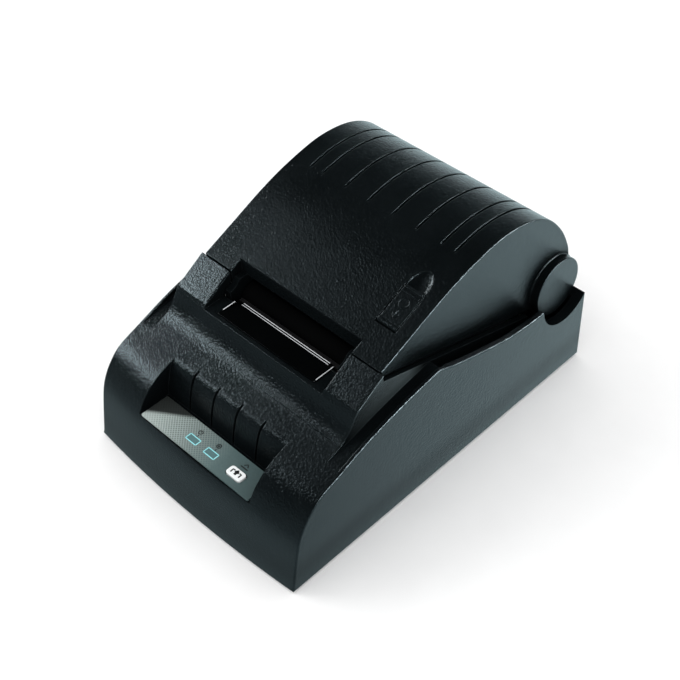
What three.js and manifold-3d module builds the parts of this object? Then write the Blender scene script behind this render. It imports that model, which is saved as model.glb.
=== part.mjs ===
// Desktop receipt printer for 58 mm paper: a moulded case with a raised neck, a lid hinged at
// the rear on two round bosses, a thermal print mechanism, a platen roller carried by the lid,
// and the boards, ports and controls.
//
// Millimetres, +Z up, +X to the printer's right seen from the front, +Y from front to back.
// The outlines below are drawn in the Y-Z plane, measured from the foot of the front corners;
// the last lines move the origin to the middle of the footprint, at the soles of the feet.

import * as THREE from 'three';
import { mergeVertices } from 'three/addons/utils/BufferGeometryUtils.js';
import Module from 'manifold-3d';

const wasm = await Module();
wasm.setup();

// ---------------------------------------------------------------- driving dimensions

const WIDTH = 110;            // over the side walls
const LENGTH = 163;           // front corners to rear wall
const NOSE_BOW = 2.5;         // how far the middle of the nose stands in front of its corners
const FOOT_DROP = 1;          // feet below the case's lower edge
const PLATE_THICK = 2.4;      // bottom plate
const WALL = 2.3;
const GAP = 0.3;              // between neighbours that are only fastened or that slide
const TOUCH = 0.05;           // between pieces that rest on each other

const HALF = WIDTH / 2;
const NECK_HALF = 48;         // raised neck, outer face
const BAY_HALF = NECK_HALF - WALL;
const LID_HALF = 46.5;
const LID_INNER = LID_HALF - 2.2;
const SLOT_HALF = 31.7;       // paper slot
const SLOT_BACK = 61;         // rear edge of the slot, in the lid
const SEAM_Y = 55.2;          // parting line between neck and lid

const HINGE = { y: 151, z: 41.9 };   // lid hinge axis
const BOSS_R = 12.7;
const BOSS_FACE = 50.3;
const NOTCH_R = 14.4;
const REAR_TOP = 35.6;

const PLATEN = { y: 61, z: 51.5, r: 5.2, half: 27.6 };
const GEAR_MODULE = 0.6;
const TEETH = { platen: 20, idler: 26, pinion: 12 };
const GEAR_X = [-39.5, -36.5];

const ROLL = { half: 31, front: 76, back: 140, floor: 6 };   // paper bin, inside faces

const RECESS = { half: 30.8, floor: 26, back: 18.2 };
const LABEL_TOP = 26.8;
const RIB_PITCH = 12.2;       // spacing of the grooves in the recess and on the lid

// ---------------------------------------------------------------- materials

function material(name, color, roughness, metalness = 0) {
  const m = new THREE.MeshStandardMaterial({ color, roughness, metalness });
  m.name = name;
  return m;
}

const caseBlack = material('case_black', 0x16191b, 0.55);
const innerBlack = material('inner_black', 0x101214, 0.7);
const steel = material('steel', 0xb9bcc0, 0.3, 1);
const aluminium = material('aluminium', 0xaeb2b5, 0.45, 1);
const rubber = material('rubber', 0x1c1c1d, 0.9);
const labelSilver = material('label_silver', 0x9aa8a8, 0.4, 0.3);
const lensCyan = material('lens_cyan', 0x8fc4c6, 0.25);
const buttonWhite = material('button_white', 0xe9eeee, 0.4);
const gearWhite = material('gear_white', 0xd9d6cb, 0.5);
const boardGreen = material('board_green', 0x1d5a38, 0.6);
const ceramic = material('ceramic', 0xd8d2c4, 0.3);
const portGrey = material('port_grey', 0x3a3d40, 0.5);

// ---------------------------------------------------------------- solids

// A closed geometry as a manifold solid, so that it can be joined and cut.
function solid(geometry) {
  const bare = geometry.index ? geometry.toNonIndexed() : geometry.clone();
  bare.deleteAttribute('normal');
  bare.deleteAttribute('uv');
  const merged = mergeVertices(bare, 1e-4);
  return new wasm.Manifold(new wasm.Mesh({
    numProp: 3,
    vertProperties: new Float32Array(merged.attributes.position.array),
    triVerts: new Uint32Array(merged.index.array),
  }));
}

function joined(...parts) {
  return parts.reduce((whole, part) => whole.add(part));
}

function cut(whole, ...tools) {
  return tools.reduce((left, tool) => left.subtract(tool), whole);
}

function box([x0, x1], [y0, y1], [z0, z1]) {
  const geometry = new THREE.BoxGeometry(x1 - x0, y1 - y0, z1 - z0);
  geometry.translate((x0 + x1) / 2, (y0 + y1) / 2, (z0 + z1) / 2);
  return solid(geometry);
}

// An outline in the Y-Z plane, extruded from x0 to x1. bend may move each finished vertex.
function slab(points, [x0, x1], steps = 1, bend = null) {
  const shape = new THREE.Shape(points.map(([y, z]) => new THREE.Vector2(y, z)));
  const geometry = new THREE.ExtrudeGeometry(shape, { depth: x1 - x0, steps, bevelEnabled: false });
  // Turn shape x, shape y and depth into Y, Z and X.
  geometry.applyMatrix4(new THREE.Matrix4().set(
    0, 0, 1, x0,
    1, 0, 0, 0,
    0, 1, 0, 0,
    0, 0, 0, 1,
  ));
  if (bend) {
    const position = geometry.attributes.position;
    const vertex = new THREE.Vector3();
    for (let i = 0; i < position.count; i += 1) {
      bend(vertex.fromBufferAttribute(position, i));
      position.setXYZ(i, vertex.x, vertex.y, vertex.z);
    }
  }
  return solid(geometry);
}

// The same outline on both sides of the printer.
function slabPair(points, [x0, x1]) {
  return joined(slab(points, [x0, x1]), slab(points, [-x1, -x0]));
}

function rod(radius, [x0, x1], y, z, segments = 24) {
  const geometry = new THREE.CylinderGeometry(radius, radius, x1 - x0, segments);
  geometry.rotateZ(Math.PI / 2);
  geometry.translate((x0 + x1) / 2, y, z);
  return solid(geometry);
}

function post(radius, x, y, [z0, z1], segments = 16) {
  const geometry = new THREE.CylinderGeometry(radius, radius, z1 - z0, segments);
  geometry.rotateX(Math.PI / 2);
  geometry.translate(x, y, (z0 + z1) / 2);
  return solid(geometry);
}

// Points along a smooth curve through a few [y, z] points.
function smooth(points, count) {
  const curve = new THREE.SplineCurve(points.map(([y, z]) => new THREE.Vector2(y, z)));
  return curve.getSpacedPoints(count).map((p) => [p.x, p.y]);
}

// The same run of points moved sideways by a distance; positive is to the left of its travel.
function offset(points, distance) {
  return points.map(([y, z], i) => {
    const [ya, za] = points[Math.max(i - 1, 0)];
    const [yb, zb] = points[Math.min(i + 1, points.length - 1)];
    const length = Math.hypot(yb - ya, zb - za);
    return [y - (distance * (zb - za)) / length, z + (distance * (yb - ya)) / length];
  });
}

function arc(centre, radius, fromDeg, toDeg, count) {
  return Array.from({ length: count + 1 }, (_, i) => {
    const angle = THREE.MathUtils.degToRad(fromDeg + ((toDeg - fromDeg) * i) / count);
    return [centre.y + radius * Math.cos(angle), centre.z + radius * Math.sin(angle)];
  });
}

const printer = new THREE.Group();

// Adds a finished solid to the printer as a named mesh.
function add(name, shape, surface) {
  const mesh = shape.getMesh();
  const geometry = new THREE.BufferGeometry();
  geometry.setAttribute('position', new THREE.BufferAttribute(new Float32Array(mesh.vertProperties), 3));
  geometry.setIndex(new THREE.BufferAttribute(new Uint32Array(mesh.triVerts), 1));
  geometry.computeVertexNormals();
  const node = new THREE.Mesh(geometry, surface);
  node.name = name;
  printer.add(node);
  return node;
}

// ---------------------------------------------------------------- outlines of the case

// Nose: a front that leans back a little, a round shoulder, then the long ridge to its peak.
const NOSE = smooth([[0, 0], [3.4, 18.5], [5.8, 26.6], [9.8, 33], [15.5, 38.2], [26, 42.4]], 14);
const RIDGE = smooth([[26, 42.4], [42, 48.3], [60, 52.6], [76, 55.2]], 6).slice(1);
const PEAK_Y = 77;
const CHEEK_TOP = 41;         // side wall in front of the hinge notch
const SIDE_TOP_REAR = [[88.5, 50.6], [110, 44.2], [124, 41.6], [135.4, CHEEK_TOP], [159, CHEEK_TOP]];

const SIDE_OUTLINE = [
  ...NOSE,
  ...RIDGE,
  [PEAK_Y, 55],
  ...SIDE_TOP_REAR,
  [LENGTH, REAR_TOP],
  [LENGTH, 0],
];

// Lower edge of the lid, a straight line from the seam down to the hinge.
const LID_EDGE_FRONT = [SEAM_Y, 61.5];
const LID_EDGE_REAR = [139.5, 34.8];
const LID_EDGE_GAP = 0.6;
const BAY_WALL_END = 137;

function lidEdge(y) {
  const t = (y - LID_EDGE_FRONT[0]) / (LID_EDGE_REAR[0] - LID_EDGE_FRONT[0]);
  return LID_EDGE_FRONT[1] + t * (LID_EDGE_REAR[1] - LID_EDGE_FRONT[1]);
}

// Neck, seen from the side: a steep face up from the nose, a crest, then the sloping top.
// Behind the seam its walls run on under the lid's lower edge as the walls of the paper bay.
const NECK_FOOT = [34, 45];
const NECK_CREST = [42, 55.8];
const NECK_TOP = [SEAM_Y, 63.9];
const BAY_WALL_TOP = [
  [SEAM_Y, lidEdge(SEAM_Y) - LID_EDGE_GAP],
  [BAY_WALL_END, lidEdge(BAY_WALL_END) - LID_EDGE_GAP],
];
const NECK_OUTLINE = [
  [NECK_FOOT[0], 30],
  NECK_FOOT,
  [36.6, 46.6],
  [38.8, 49.7],
  [41, 54.7],
  NECK_CREST,
  NECK_TOP,
  ...BAY_WALL_TOP,
  [BAY_WALL_END, 20],
  [60, 20],
];

// The nose bows forward in plan; the bow fades out over the top of the nose.
function bow(point) {
  const fade = 1 - THREE.MathUtils.smoothstep(point.z, 30, 43);
  const across = 1 - (point.x / HALF) ** 2;
  const front = 1 - THREE.MathUtils.smoothstep(point.y, 10, 34);
  point.y -= NOSE_BOW * across * fade * front;
}

// ---------------------------------------------------------------- case

const RIM = 1.5;              // raised rim along each shoulder
const LEDGE_DROP = 1.9;       // shoulder floor below that rim
const TROUGH_Y = 79;          // behind here the shoulder drops into a deep trough
const CHEEK_INNER = 50.7;
const BRACKET_X = [40.3, 43.7];
const REAR_WALL_TOP = 31.5;
const SHELF = { top: 54.2, thick: 1.8, back: 51 };
const PIN_R = 2.4;

const CASE_POSTS = [
  [48.4, 22],
  [46.4, 148],
];
const POST_R = 4.4;

function caseShell() {
  const outside = joined(
    slab(SIDE_OUTLINE, [-HALF, HALF], 10, bow),
    slab(NECK_OUTLINE, [-NECK_HALF, NECK_HALF]),
  );

  // Hollow under the nose and shoulders, out to the side walls.
  const noseInside = offset(NOSE, -WALL).map(([y, z], i) => (i === 0 ? [y, -1] : [y, z]));
  const inner = HALF - WALL;
  const frontHollow = slab(
    [...noseInside, [40, 43], [PEAK_Y, 51.3], [PEAK_Y, -1]],
    [-inner, inner],
    10,
    bow,
  );

  // Hollow of the neck and of the paper bay behind it, open at the top.
  const rearInside = LENGTH - WALL;
  const bayHollow = slab(
    [[40, -1], [40, 40], [41.4, 48.8], [43.3, 53.9], [SEAM_Y - 0.2, 61.4],
      [SEAM_Y - 0.2, 90], [BAY_WALL_END, 90], [BAY_WALL_END, -1]],
    [-BAY_HALF, BAY_HALF],
  );
  const rearHollow = slab(
    [[BAY_WALL_END - 1, -1], [BAY_WALL_END - 1, 90], [rearInside, 90], [rearInside, -1]],
    [-CHEEK_INNER, CHEEK_INNER],
  );

  // Trough between the bay wall and the side wall, with a sloping floor.
  const above = [[TROUGH_Y, 90], [TROUGH_Y, 40], [BAY_WALL_END, 22], [BAY_WALL_END, 90]];
  const below = [[PEAK_Y - 1, -1], [PEAK_Y - 1, 38], [TROUGH_Y, 38], [BAY_WALL_END, 20], [BAY_WALL_END, -1]];
  const troughAbove = slabPair(above, [NECK_HALF, inner]);
  const troughBelow = slabPair(below, [NECK_HALF, inner]);

  // Everything above the bay wall and inside the rims, where the lid and its sides sit.
  const wallTop = [[SEAM_Y, 90], ...BAY_WALL_TOP, [BAY_WALL_END, 90]];
  const lidSpace = slab(wallTop, [-NECK_HALF - 0.01, NECK_HALF + 0.01]);

  // The bay walls stop above the bottom plate.
  const plateSpace = box([-inner, inner], [PEAK_Y - 2, BAY_WALL_END], [-1, PLATE_THICK + GAP]);

  // Shoulder floors: a shallow step down from the rim to the foot of the neck.
  const ridge = [...NOSE.slice(-3), ...RIDGE, [TROUGH_Y + 1, 55]];
  const floor = ridge.map(([y, z]) => [y, z - LEDGE_DROP * THREE.MathUtils.smoothstep(y, 24, 40)]);
  const ledge = slabPair([...floor, [TROUGH_Y + 1, 70], [floor[0][0], 70]], [NECK_HALF, HALF - RIM]);

  // Round notch for the hinge boss in each side wall, open to the top.
  const notch = [
    ...arc(HINGE, NOTCH_R, 180, 360, 18),
    [HINGE.y + NOTCH_R, 60],
    [HINGE.y - NOTCH_R, 60],
  ];
  const notches = slabPair(notch, [CHEEK_INNER - 3, HALF + 1]);

  const rearLow = box([-NECK_HALF - 0.4, NECK_HALF + 0.4], [LENGTH - 4, LENGTH + 1], [REAR_WALL_TOP, 60]);

  // Cup around the control recess, then the recess itself with its ribbed back.
  const cup = slab(
    [[-5, 24.2], [RECESS.back + 1.6, 24.2], [21.9, 34.5], [23.6, 40.4], [26.6, 43], [26.6, 60], [-5, 60]],
    [-RECESS.half - 1.8, RECESS.half + 1.8],
  ).intersect(outside);
  const recessBack = smooth([[RECESS.back, RECESS.floor], [19, 31], [20.6, 36.5], [22.2, 40.6], [27.4, 44.2]], 7);
  const recess = slab([[-8, RECESS.floor], ...recessBack, [28, 60], [-8, 60]], [-RECESS.half, RECESS.half]);
  const ribGrooves = [-1.5, -0.5, 0.5, 1.5].map((step) => {
    const groove = offset(recessBack, -0.9);
    const x = step * RIB_PITCH;
    return slab([...groove, [20, 60], [10, 60], [10, RECESS.floor]], [x - 0.45, x + 0.45]);
  });

  // Shelf across the neck under the tear bar, and the slot above it.
  const shelf = box([-BAY_HALF - 1, BAY_HALF + 1], [42, SHELF.back], [SHELF.top - SHELF.thick, SHELF.top]);
  const slot = box([-SLOT_HALF, SLOT_HALF], [38, SEAM_Y + 1], [SHELF.top, 80]);

  // Hinge brackets rise from the rear wall between the lid's skirt and its side walls.
  const bracket = [
    ...arc(HINGE, 5.6, 20, 180, 8),
    [HINGE.y - 5.6, 12],
    [rearInside + 1, 12],
    [rearInside + 1, 30],
  ];
  const brackets = slabPair(bracket, BRACKET_X);
  const pinBores = joined(
    rod(PIN_R + 0.05, [BRACKET_X[0] - 1, BRACKET_X[1] + 1], HINGE.y, HINGE.z, 20),
    rod(PIN_R + 0.05, [-BRACKET_X[1] - 1, -BRACKET_X[0] + 1], HINGE.y, HINGE.z, 20),
  );

  const screwPosts = [];
  const screwBores = [];
  for (const [x, y] of CASE_POSTS) {
    for (const side of [-1, 1]) {
      screwPosts.push(post(POST_R, side * x, y, [2.7, 18]));
      screwBores.push(post(1.6, side * x, y, [2, 12.5], 12));
    }
  }

  let shell = cut(outside, frontHollow, bayHollow, rearHollow, troughAbove, troughBelow, ledge, lidSpace,
    plateSpace);
  shell = joined(shell, cup, shelf, brackets, ...screwPosts);
  shell = cut(shell, recess, ...ribGrooves, slot, notches, rearLow, pinBores, ...screwBores);
  shell = cut(shell, ...panelHoles(RECESS.floor - 3, RECESS.floor + 0.5), ...portHoles());
  return shell;
}

// ---------------------------------------------------------------- controls

const LEDS = [-5.9, 4.1];     // x of the two indicator windows
const LED_Y = 9.3;
const LED_SIZE = [5, 2.2];
const BUTTON = { x: 18.1, y: 9.1, width: 7.6, depth: 4.2 };
const BUTTON_TRAVEL = 0.5;
const BOARD_TOP = 19.5;

function around([x0, x1], [y0, y1], gap) {
  return [[x0 - gap, x1 + gap], [y0 - gap, y1 + gap]];
}

function ledArea(x) {
  return [[x - LED_SIZE[0] / 2, x + LED_SIZE[0] / 2], [LED_Y - LED_SIZE[1] / 2, LED_Y + LED_SIZE[1] / 2]];
}

const BUTTON_AREA = [
  [BUTTON.x - BUTTON.width / 2, BUTTON.x + BUTTON.width / 2],
  [BUTTON.y - BUTTON.depth / 2, BUTTON.y + BUTTON.depth / 2],
];

// Openings for the two lenses and the button, between two heights.
function panelHoles(z0, z1) {
  const areas = [...LEDS.map(ledArea), BUTTON_AREA];
  return areas.map((area) => {
    const [xs, ys] = around(area[0], area[1], 0.25);
    return box(xs, ys, [z0, z1]);
  });
}

function addControls() {
  const plate = slab(
    [[3.9, RECESS.floor + TOUCH], [3.9, LABEL_TOP], [16.8, LABEL_TOP], [16.8, RECESS.floor + TOUCH]],
    [-29.8, 29.8],
  );
  add('label_plate', cut(plate, ...panelHoles(RECESS.floor - 1, LABEL_TOP + 1)), labelSilver);

  LEDS.forEach((x, i) => {
    const [xs, ys] = ledArea(x);
    const lens = joined(
      box(xs, ys, [21.2, LABEL_TOP]),
      box(...around(xs, ys, 0.9), [21.2, 23.6]),
    );
    add(['power_lens', 'status_lens'][i], lens, lensCyan);
    const chip = box([x - 1.2, x + 1.2], [LED_Y - 0.8, LED_Y + 0.8], [BOARD_TOP + TOUCH, 20.9]);
    add(['power_led', 'status_led'][i], chip, buttonWhite);
  });

  const stemTop = RECESS.floor - 2.6;
  const cap = joined(
    box(...BUTTON_AREA, [stemTop, LABEL_TOP + 0.7]),
    box(...around(...BUTTON_AREA, 1), [stemTop - 0.9, stemTop]),
  );
  add('feed_button', cap, buttonWhite);

  const keySwitch = joined(
    box([BUTTON.x - 3, BUTTON.x + 3], [BUTTON.y - 3, BUTTON.y + 3], [BOARD_TOP + TOUCH, 21.2]),
    post(1.6, BUTTON.x, BUTTON.y, [21, stemTop - 0.9 - BUTTON_TRAVEL - 0.1], 12),
  );
  add('feed_key_switch', keySwitch, portGrey);
  add('panel_board', box([-14, 25], [6, 17.5], [BOARD_TOP - 1.6, BOARD_TOP]), boardGreen);
}

// ---------------------------------------------------------------- lid

const LID_THICK = 2.2;
const LID_CURVE = smooth([
  [SEAM_Y + 0.4, 64.1], [68, 69.4], [88, 77.9], [104, 82.7], [119, 85],
  [134, 83.1], [146, 76.8], [155, 66.4], [160.2, 56], [161.6, 50],
], 30);
const SKIRT_HALF = 39.6;
const LATCH = { x: [31, 40.3], y: [69, 84.6] };
const LATCH_AXIS = { y: 71, z: 69 };
const LATCH_PIN_R = 0.8;
const LATCH_THICK = 2;
const VENT_FRONT = 103.5;

function lidSurface(y) {
  for (let i = 1; i < LID_CURVE.length; i += 1) {
    const [ya, za] = LID_CURVE[i - 1];
    const [yb, zb] = LID_CURVE[i];
    if (y <= yb) {
      return za + ((y - ya) / (yb - ya)) * (zb - za);
    }
  }
  return LID_CURVE[LID_CURVE.length - 1][1];
}

function lidShell() {
  const front = [SEAM_Y + 0.4, LID_EDGE_FRONT[1] + 0.1];
  const sides = slab([
    ...LID_CURVE,
    ...arc(HINGE, BOSS_R, 30, -150, 12),
    LID_EDGE_REAR,
    front,
  ], [-LID_HALF, LID_HALF]);
  const inside = offset(LID_CURVE, -LID_THICK);
  const hollow = slab([[50, 20], [50, inside[0][1] - 2], ...inside, [164, 48], [170, 20]], [-LID_INNER, LID_INNER]);
  let shell = cut(sides, hollow);

  // Rolled rear skirt around the hinge axis, between the brackets.
  const skirt = slab(
    [...arc(HINGE, BOSS_R, 42, -62, 12), ...arc(HINGE, BOSS_R - LID_THICK, -62, 42, 12)],
    [-SKIRT_HALF, SKIRT_HALF],
  );
  const bosses = joined(
    rod(BOSS_R, [LID_INNER, BOSS_FACE], HINGE.y, HINGE.z, 40),
    rod(BOSS_R, [-BOSS_FACE, -LID_INNER], HINGE.y, HINGE.z, 40),
  );
  shell = joined(shell, skirt, bosses);

  // Ribs that carry the platen shaft.
  const rib = [
    ...arc(PLATEN, 3.1, 180, 360, 8),
    [66, lidSurface(66) - 1],
    [57.6, lidSurface(57.6) - 1],
  ];
  shell = joined(shell, slabPair(rib, [28.6, 30.2]));

  // Cross wall behind the slot, stiffening the lid's front edge.
  const crossWall = [[SLOT_BACK, lidSurface(SLOT_BACK) - 1], [SLOT_BACK, 60], [62.4, 60], [62.4, 66]];
  shell = joined(shell, slab(crossWall, [-SLOT_HALF, SLOT_HALF]));

  const latchBlock = [[69, 66.4], [73, 66.4], [73, lidSurface(73) - 1], [69, lidSurface(69) - 1]];
  shell = joined(shell, slab(latchBlock, [29, 42.4]));

  const slotNotch = box([-SLOT_HALF, SLOT_HALF], [50, SLOT_BACK], [56, 80]);
  const latchHole = box([LATCH.x[0] - GAP, LATCH.x[1] + GAP], [LATCH.y[0] - GAP, LATCH.y[1] + GAP], [60, 90]);
  const latchBore = rod(LATCH_PIN_R + 0.05, [29.6, 41.8], LATCH_AXIS.y, LATCH_AXIS.z, 12);
  const shaftBore = rod(1.65, [-32, 32], PLATEN.y, PLATEN.z, 16);
  const pinBores = joined(
    rod(PIN_R + 0.1, [LID_INNER - 1, 49], HINGE.y, HINGE.z, 20),
    rod(PIN_R + 0.1, [-49, -LID_INNER + 1], HINGE.y, HINGE.z, 20),
  );

  // Six long vent grooves over the crest.
  const groovePath = LID_CURVE.filter(([y]) => y > VENT_FRONT && y < 160.5);
  const grooveOutline = [...offset(groovePath, 1), ...offset(groovePath, -0.6).reverse()];
  const grooves = [-2.5, -1.5, -0.5, 0.5, 1.5, 2.5].map((step) => {
    const x = step * RIB_PITCH;
    return slab(grooveOutline, [x - 0.4, x + 0.4]);
  });

  // Finger scoop behind the latch lever.
  const scoop = new THREE.SphereGeometry(7, 16, 10);
  scoop.translate(35.65, 88.6, lidSurface(88.6) + 5.4);

  return cut(shell, slotNotch, latchHole, latchBore, shaftBore, pinBores, ...grooves, solid(scoop));
}

function addLatch() {
  const [x0, x1] = LATCH.x;
  const top = [0, 0.25, 0.5, 0.75, 1].map((t) => {
    const y = THREE.MathUtils.lerp(LATCH_AXIS.y, LATCH.y[1], t);
    return [y, lidSurface(y)];
  });
  const under = top.map(([y, z]) => [y, z - LATCH_THICK]).reverse();
  const plate = slab([...top, ...under], [x0, x1]);
  const barrel = rod(1.65, [x0, x1], LATCH_AXIS.y, LATCH_AXIS.z, 20);
  const grips = [82.2, 83.8].map((y) => rod(0.45, [x0 + 0.6, x1 - 0.6], y, lidSurface(y) + 0.05, 8));
  const hook = slab([
    [70, 69], [70, 56.4], [68.6, 55.6], [68.6, 54.4], [70, 53.6], [72.2, 53.6], [72.2, 69],
  ], [34.4, 37.4]);
  const lever = joined(plate, barrel, hook, ...grips);
  const bore = rod(LATCH_PIN_R + 0.1, [x0 - 1, x1 + 1], LATCH_AXIS.y, LATCH_AXIS.z, 12);
  add('latch_lever', cut(lever, bore), caseBlack);
  add('latch_pin', rod(LATCH_PIN_R, [29.7, 41.7], LATCH_AXIS.y, LATCH_AXIS.z, 12), steel);
}

// ---------------------------------------------------------------- hinge pins

function addHingePins() {
  for (const [name, side] of [['hinge_pin_right', 1], ['hinge_pin_left', -1]]) {
    const span = [39.2, 48.8].map((x) => side * x).sort((a, b) => a - b);
    const head = [38.2, 39.8].map((x) => side * x).sort((a, b) => a - b);
    const pin = joined(
      rod(PIN_R, span, HINGE.y, HINGE.z, 20),
      rod(3.6, head, HINGE.y, HINGE.z, 20),
    );
    add(name, pin, steel);
  }
}

// ---------------------------------------------------------------- springs

// A coil spring along Y: a round wire swept along a helix.
class Helix extends THREE.Curve {
  constructor(radius, length, turns) {
    super();
    this.radius = radius;
    this.length = length;
    this.turns = turns;
  }

  getPoint(t) {
    const angle = 2 * Math.PI * this.turns * t;
    return new THREE.Vector3(
      this.radius * Math.cos(angle),
      this.length * t,
      this.radius * Math.sin(angle),
    );
  }
}

function coil(radius, wire, length, turns, stepsPerTurn = 12) {
  const section = new THREE.Shape();
  section.absarc(0, 0, wire, 0, 2 * Math.PI, false);
  return new THREE.ExtrudeGeometry(section, {
    steps: Math.round(turns * stepsPerTurn),
    extrudePath: new Helix(radius, length, turns),
    curveSegments: 3,
    bevelEnabled: false,
  });
}

// ---------------------------------------------------------------- print mechanism

const FRAME_PLATE = [33.5, 35];
const BUSHING_R = 2.95;
const HEAD_PIVOT = { y: 51.6, z: 42.4 };
const IDLER_AXIS = { y: PLATEN.y, z: PLATEN.z - (GEAR_MODULE * (TEETH.platen + TEETH.idler)) / 2 };
const PINION_REACH = (GEAR_MODULE * (TEETH.idler + TEETH.pinion)) / 2;
const CLIP_X = [-40.25, -39.75];
const PINION_ANGLE = THREE.MathUtils.degToRad(225);
const MOTOR_AXIS = {
  y: IDLER_AXIS.y + PINION_REACH * Math.cos(PINION_ANGLE),
  z: IDLER_AXIS.z + PINION_REACH * Math.sin(PINION_ANGLE),
};

function addFrame() {
  const side = [
    [43, 2.6], [43, 49.5], [54, 49.5], [56.2, 55], [66, 55], [69, 42], [69, 2.6],
  ];
  const plates = slabPair(side, FRAME_PLATE);
  const front = box([-33.6, 33.6], [43, 44.2], [14, 49.5]);
  const deck = box([-33.6, 33.6], [43, 57], [14, 15.4]);
  // Bearing notches, flared so that the bushings swing out freely with the lid.
  const notch = [
    ...arc(PLATEN, BUSHING_R + 0.35, 180, 360, 10),
    [PLATEN.y + BUSHING_R + 1.6, 56],
    [PLATEN.y - BUSHING_R - 1.6, 56],
  ];
  const frame = cut(
    joined(plates, front, deck),
    slabPair(notch, [33, 36]),
    rod(1.1, [-36, 36], HEAD_PIVOT.y, HEAD_PIVOT.z, 12),
    rod(2.6, [-36, -33], MOTOR_AXIS.y, MOTOR_AXIS.z, 16),
    rod(1.55, [-36, -33], IDLER_AXIS.y, IDLER_AXIS.z, 16),
  );
  const catchPeg = rod(1.2, [34.5, 38.4], 66.2, 53.6, 12);
  add('print_frame', joined(frame, catchPeg), steel);
}

function addHead() {
  const sink = joined(
    box([-27, 27], [50.2, 53.2], [44.6, 52]),
    rod(1.9, [-27, 27], HEAD_PIVOT.y, HEAD_PIVOT.z, 16),
    box([-27, 27], [50.6, 52.8], [42.4, 45]),
  );
  add('heat_sink', cut(sink, rod(1.12, [-28, 28], HEAD_PIVOT.y, HEAD_PIVOT.z, 16)), aluminium);
  add('thermal_head', box([-26.5, 26.5], [53.2 + TOUCH, 55.5], [45.4, 53.4]), ceramic);
  add('head_pivot_rod', rod(1, [-34.8, 34.8], HEAD_PIVOT.y, HEAD_PIVOT.z, 12), steel);
  for (const [name, x] of [['head_spring_left', -15], ['head_spring_right', 15]]) {
    const spring = coil(1.9, 0.3, 4.7, 4);
    spring.translate(x, 44.2 + 0.45, 48);
    add(name, solid(spring), steel);
  }
}

// A spur gear lying in the Y-Z plane, with involute flanks and a little backlash.
function gear(teeth, [x0, x1], axis, bore, phase) {
  const pressure = THREE.MathUtils.degToRad(20);
  const pitch = (GEAR_MODULE * teeth) / 2;
  const base = pitch * Math.cos(pressure);
  const tip = pitch + 0.9 * GEAR_MODULE;
  const root = pitch - 1.15 * GEAR_MODULE;
  const involute = (r) => {
    const tangent = Math.sqrt(Math.max((r / base) ** 2 - 1, 0));
    return tangent - Math.atan(tangent);
  };
  const backlash = 0.07;
  const halfTooth = Math.PI / (2 * teeth) - backlash / pitch;
  const flank = [root, Math.max(base, root), pitch, tip];
  const halfAt = (r) => halfTooth + involute(pitch) - involute(r);
  const outline = [];
  for (let i = 0; i < teeth; i += 1) {
    const centre = phase + (2 * Math.PI * i) / teeth;
    const rising = flank.map((r) => [r, centre - halfAt(r)]);
    const falling = flank.map((r) => [r, centre + halfAt(r)]).reverse();
    for (const [r, angle] of [...rising, ...falling]) {
      outline.push([axis.y + r * Math.cos(angle), axis.z + r * Math.sin(angle)]);
    }
  }
  const wheel = slab(outline, [x0, x1]);
  return cut(wheel, rod(bore, [x0 - 1, x1 + 1], axis.y, axis.z, 16));
}

function addGears() {
  // The idler has a tooth pointing up at the platen gear, which has a gap pointing down at it.
  const up = Math.PI / 2;
  const platenPhase = -up + Math.PI / TEETH.platen;
  const idlerPhase = up;
  add('platen_gear', gear(TEETH.platen, GEAR_X, PLATEN, 1.5 + TOUCH, platenPhase), gearWhite);
  add('idler_gear', gear(TEETH.idler, GEAR_X, IDLER_AXIS, 1.65, idlerPhase), gearWhite);
  // The pinion's gap faces whichever idler tooth lies nearest the line between their axes.
  const toIdler = PINION_ANGLE - Math.PI;
  const idlerPitch = (2 * Math.PI) / TEETH.idler;
  const offTooth = (PINION_ANGLE - idlerPhase) % idlerPitch;
  const pinionPhase = toIdler + Math.PI / TEETH.pinion + (offTooth * TEETH.idler) / TEETH.pinion;
  add('motor_pinion', gear(TEETH.pinion, GEAR_X, MOTOR_AXIS, 1 + TOUCH, pinionPhase), gearWhite);
  const stud = joined(
    rod(1.5, [-40.4, -33.6], IDLER_AXIS.y, IDLER_AXIS.z, 16),
    rod(2.4, [-36.2, -35.1], IDLER_AXIS.y, IDLER_AXIS.z, 16),
  );
  add('idler_stud', stud, steel);
  const ring = cut(
    rod(2.9, CLIP_X, IDLER_AXIS.y, IDLER_AXIS.z, 20),
    rod(1.5 + TOUCH, [CLIP_X[0] - 1, CLIP_X[1] + 1], IDLER_AXIS.y, IDLER_AXIS.z, 16),
    box([CLIP_X[0] - 1, CLIP_X[1] + 1], [IDLER_AXIS.y - 0.9, IDLER_AXIS.y + 0.9], [IDLER_AXIS.z - 4, IDLER_AXIS.z]),
  );
  add('idler_clip', ring, steel);
}

function addMotor() {
  const { y, z } = MOTOR_AXIS;
  const can = joined(
    rod(8.3, [-33.3, -19], y, z, 28),
    rod(2.4, [-34.6, -33.2], y, z, 16),
  );
  add('stepper_motor', cut(can, rod(1.15, [-36, -30], y, z, 12)), steel);
  add('motor_shaft', rod(1, [-40.2, -30.4], y, z, 12), steel);
}

function addPlaten() {
  const { y, z, r, half } = PLATEN;
  add('platen_shaft', rod(1.5, [-40.6, 36.4], y, z, 16), steel);
  const sleeve = cut(rod(r, [-half, half], y, z, 32), rod(1.5 + TOUCH, [-half - 1, half + 1], y, z, 16));
  add('platen_rubber', sleeve, rubber);
  for (const [name, span] of [['platen_bushing_right', [30.6, 35.6]], ['platen_bushing_left', [-35.6, -30.6]]]) {
    const bushing = cut(rod(BUSHING_R, span, y, z, 20), rod(1.65, [span[0] - 1, span[1] + 1], y, z, 16));
    add(name, bushing, gearWhite);
  }
}

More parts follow.
